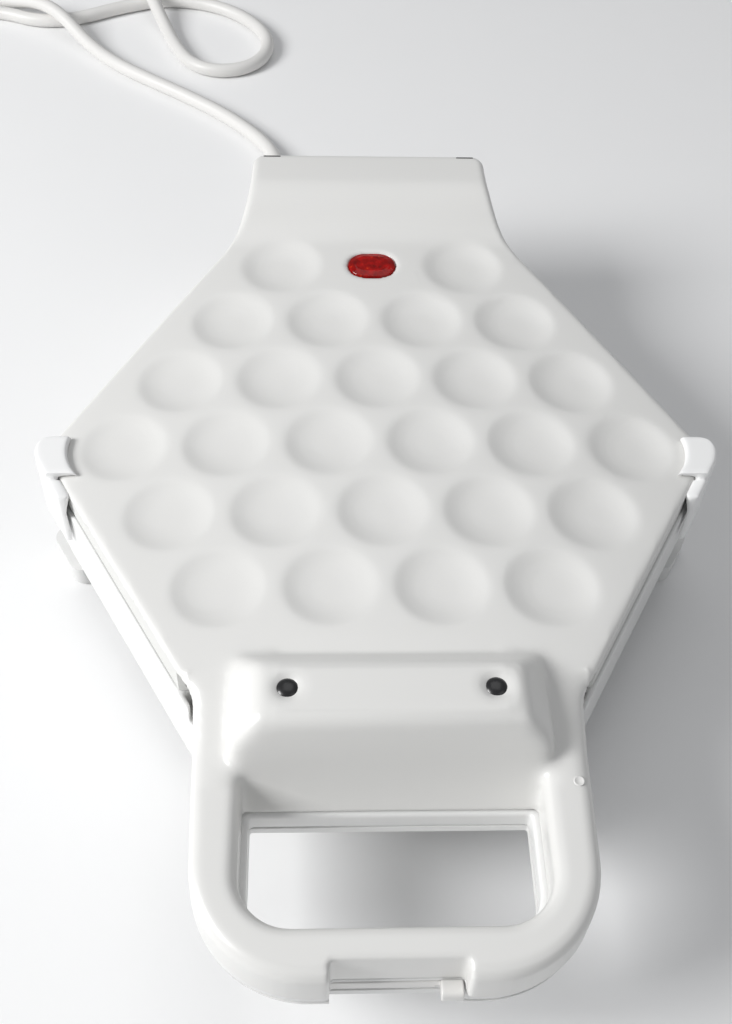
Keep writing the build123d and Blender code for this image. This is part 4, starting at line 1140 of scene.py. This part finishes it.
@dataclass
class NeckSlotShadows:
    """Two short dark patches at the back corners of the neck, over the hinges: painted shadow standing in
    for the slots there.
    """

    across: float = 45.0
    inset: float = 2.8
    length: float = 8.0
    width: float = 1.1
    height: float = 0.3
    proud: float = 0.06

    def build(self) -> None:
        """Lay both painted slot shadows onto the rounded back edge as one piece."""
        radius = self.width / 2
        levels = [(radius * 0.6, -self.height), (radius, self.proud - 0.05), (radius, self.proud)]
        back = corners("lid_shell")[1].y
        shadow_marks = []
        for side in (-1, 1):
            place, normal = lid_seat(side * self.across * MM, back - self.inset * MM)
            shadow_mark = stadium(levels, (self.length - self.width) / 2, (0, 0, 0), segments=26)
            turn = UP.rotation_difference(normal).to_matrix().to_4x4()
            bmesh.ops.transform(shadow_mark, matrix=Matrix.Translation(place) @ turn, verts=shadow_mark.verts)
            shadow_marks.append(shadow_mark)
        finished(joined(shadow_marks), "neck_slot_shadows", Finish.SLOT, Body.LID, smooth=False)


@dataclass
class GateMark:
    """Small round gate mark that moulding leaves on the handle's right rail."""

    across: float = 61.0
    from_front: float = 63.6
    profile: tuple[tuple[float, float], ...] = (
        (0, -0.3), (1.9, -0.3), (1.85, 0.06), (1.6, 0.16), (1.3, 0.08), (1.15, -0.03), (0, -0.03))

    def build(self) -> None:
        """Lay the mark onto the rail."""
        front = corners("lid_shell")[0].y
        place = lid_seat(self.across * MM, front + self.from_front * MM)[0]
        mark = turned(list(self.profile), place, steps=32)
        piece = finished(mark, "gate_mark", Finish.LID, Body.LID)


@dataclass
class RatingPlate:
    """Blank rating plate on the underside, held by two small rivets."""

    half_length: float = 31.0
    half_width: float = 17.0
    thickness: float = 0.4
    corner: float = 3.0
    behind_middle: float = 12.0
    rivet_radius: float = 1.6
    rivet_height: float = 0.3
    rivet_inset: float = 4.0

    def build(self) -> None:
        """Make the plate and its rivets against the bottom cover."""
        low, high = corners("bottom_cover")
        middle = (low + high) / 2 + Vector((0, self.behind_middle * MM, 0))
        middle.z = low.z
        mesh = bmesh.new()
        bmesh.ops.create_grid(mesh, x_segments=1, y_segments=1, size=1.0)
        half = (self.half_length * MM, self.half_width * MM, 1)
        bmesh.ops.scale(mesh, vec=half, verts=mesh.verts)
        bmesh.ops.bevel(mesh, geom=mesh.verts, offset=self.corner * MM, affect="VERTICES",
                        segments=6, profile=0.5, material=-1)
        grown = bmesh.ops.extrude_face_region(mesh, geom=list(mesh.faces))["geom"]
        lower = [item for item in grown if isinstance(item, bmesh.types.BMVert)]
        bmesh.ops.translate(mesh, vec=(0, 0, -self.thickness * MM), verts=lower)
        bmesh.ops.translate(mesh, vec=middle, verts=mesh.verts)
        bmesh.ops.recalc_face_normals(mesh, faces=mesh.faces)
        plate = finished(mesh, "rating_plate", Finish.LABEL, Body.BASE, smooth=False)
        foot, radius = -self.thickness - self.rivet_height, self.rivet_radius
        profile = [(0, foot), (radius * 0.6, foot + 0.05), (radius, foot + self.rivet_height),
                   (radius, 0), (0, 0)]
        shift = Vector(((self.half_length - self.rivet_inset) * MM, 0, 0))
        both = joined(turned(profile, middle + side * shift, steps=24) for side in (-1, 1))
        rivets = finished(both, "rating_plate_rivets", Finish.STEEL, Body.BASE)


# ---------------------------------------------------------------- studio
@dataclass(frozen=True)
class SoftLight:
    """One soft square light: where it hangs, its size in metres and its power in watts."""

    name: str
    place: Point
    aim: Point
    size: float
    power: float

    def hang(self) -> None:
        """Hang the light, turned to the point that it aims at."""
        data = bpy.data.lights.new(self.name, "AREA")
        data.shape = "SQUARE"
        data.size = self.size
        data.energy = self.power
        lamp = bpy.data.objects.new(self.name, data)
        bpy.context.scene.collection.objects.link(lamp)
        lamp.location = self.place
        lamp.rotation_mode = "QUATERNION"
        way = Vector(self.aim) - Vector(self.place)
        lamp.rotation_quaternion = way.to_track_quat("-Z", "Y")


@dataclass
class Studio:
    """Pale floor, soft lights and the camera."""

    lights: tuple[SoftLight, ...] = (
        SoftLight("key", (-1.5, -0.35, 1.15), (0, 0, 0.03), 0.8, 33.0),
        SoftLight("fill", (1.2, -0.9, 1.5), (0, 0, 0.03), 1.3, 3.0),
        SoftLight("top", (0.1, 0.9, 1.9), (0, 0.05, 0.03), 1.4, 5.0),
    )
    room_colour: Colour = (0.95, 0.97, 1)
    room_strength: float = 0.27
    lens: float = 45.28
    place: Point = (-0.0252, -0.31985, 0.4486)
    tilt: Point = (38.88, -2.22, -0.08)
    floor_half: float = 3.0
    floor_finish: Plastic = Plastic("studio_floor", (0.90, 0.90, 0.90), 0.7, shade=0.01)

    def camera(self) -> None:
        """Set the camera over the front of the appliance."""
        data = bpy.data.cameras.new("camera")
        data.lens = self.lens
        data.sensor_width = 36.0
        data.clip_start, data.clip_end = 0.01, 20.0
        camera = bpy.data.objects.new("camera", data)
        bpy.context.scene.collection.objects.link(camera)
        tilt, roll, turn = (math.radians(angle) for angle in self.tilt)
        camera.rotation_mode = "QUATERNION"
        camera.rotation_quaternion = (
            Matrix.Rotation(turn, 3, "Z") @ Matrix.Rotation(tilt, 3, "X")
            @ Matrix.Rotation(roll, 3, "Y")
        ).to_quaternion()
        camera.location = self.place
        bpy.context.scene.camera = camera

    def floor(self) -> None:
        """Lay the pale floor."""
        mesh = bmesh.new()
        bmesh.ops.create_grid(mesh, x_segments=8, y_segments=8, size=self.floor_half)
        data = bpy.data.meshes.new("floor")
        mesh.to_mesh(data)
        mesh.free()
        floor = bpy.data.objects.new("floor", data)
        bpy.context.scene.collection.objects.link(floor)
        floor.data.materials.append(self.floor_finish.build())

    def build(self) -> None:
        """Set up the whole studio."""
        self.camera()
        self.floor()
        for light in self.lights:
            light.hang()
        world = bpy.data.worlds.new("room")
        world.use_nodes = True
        room = world.node_tree.nodes["Background"]
        room.inputs["Color"].default_value = (*self.room_colour, 1)
        room.inputs["Strength"].default_value = self.room_strength
        bpy.context.scene.world = world
        bpy.context.scene.view_settings.view_transform = "Standard"


def main() -> None:
    """Build the appliance."""
    logging.basicConfig(level=logging.INFO, format="%(name)s: %(message)s")
    parts = [Studio(), MainsLead(), Casing(), LidMoulding(), LampWindow(), PlatformScrews(),
             NeckSlotShadows(), GateMark(), RatingPlate(),
             SoftMoulding("base_shell", Finish.BASE, Body.BASE, voxel=0.75, rounds=5)]
    for node in ("corner_guide_left", "corner_guide_right"):
        parts.append(CornerGuide(node, Finish.GUIDE, Body.LID, voxel=0.35, rounds=30))
    parts.append(SoftMoulding("latch_slider", Finish.LATCH, Body.LATCH, voxel=0.3, rounds=4))
    for part in parts:
        part.build()


if __name__ == "__main__":
    main()
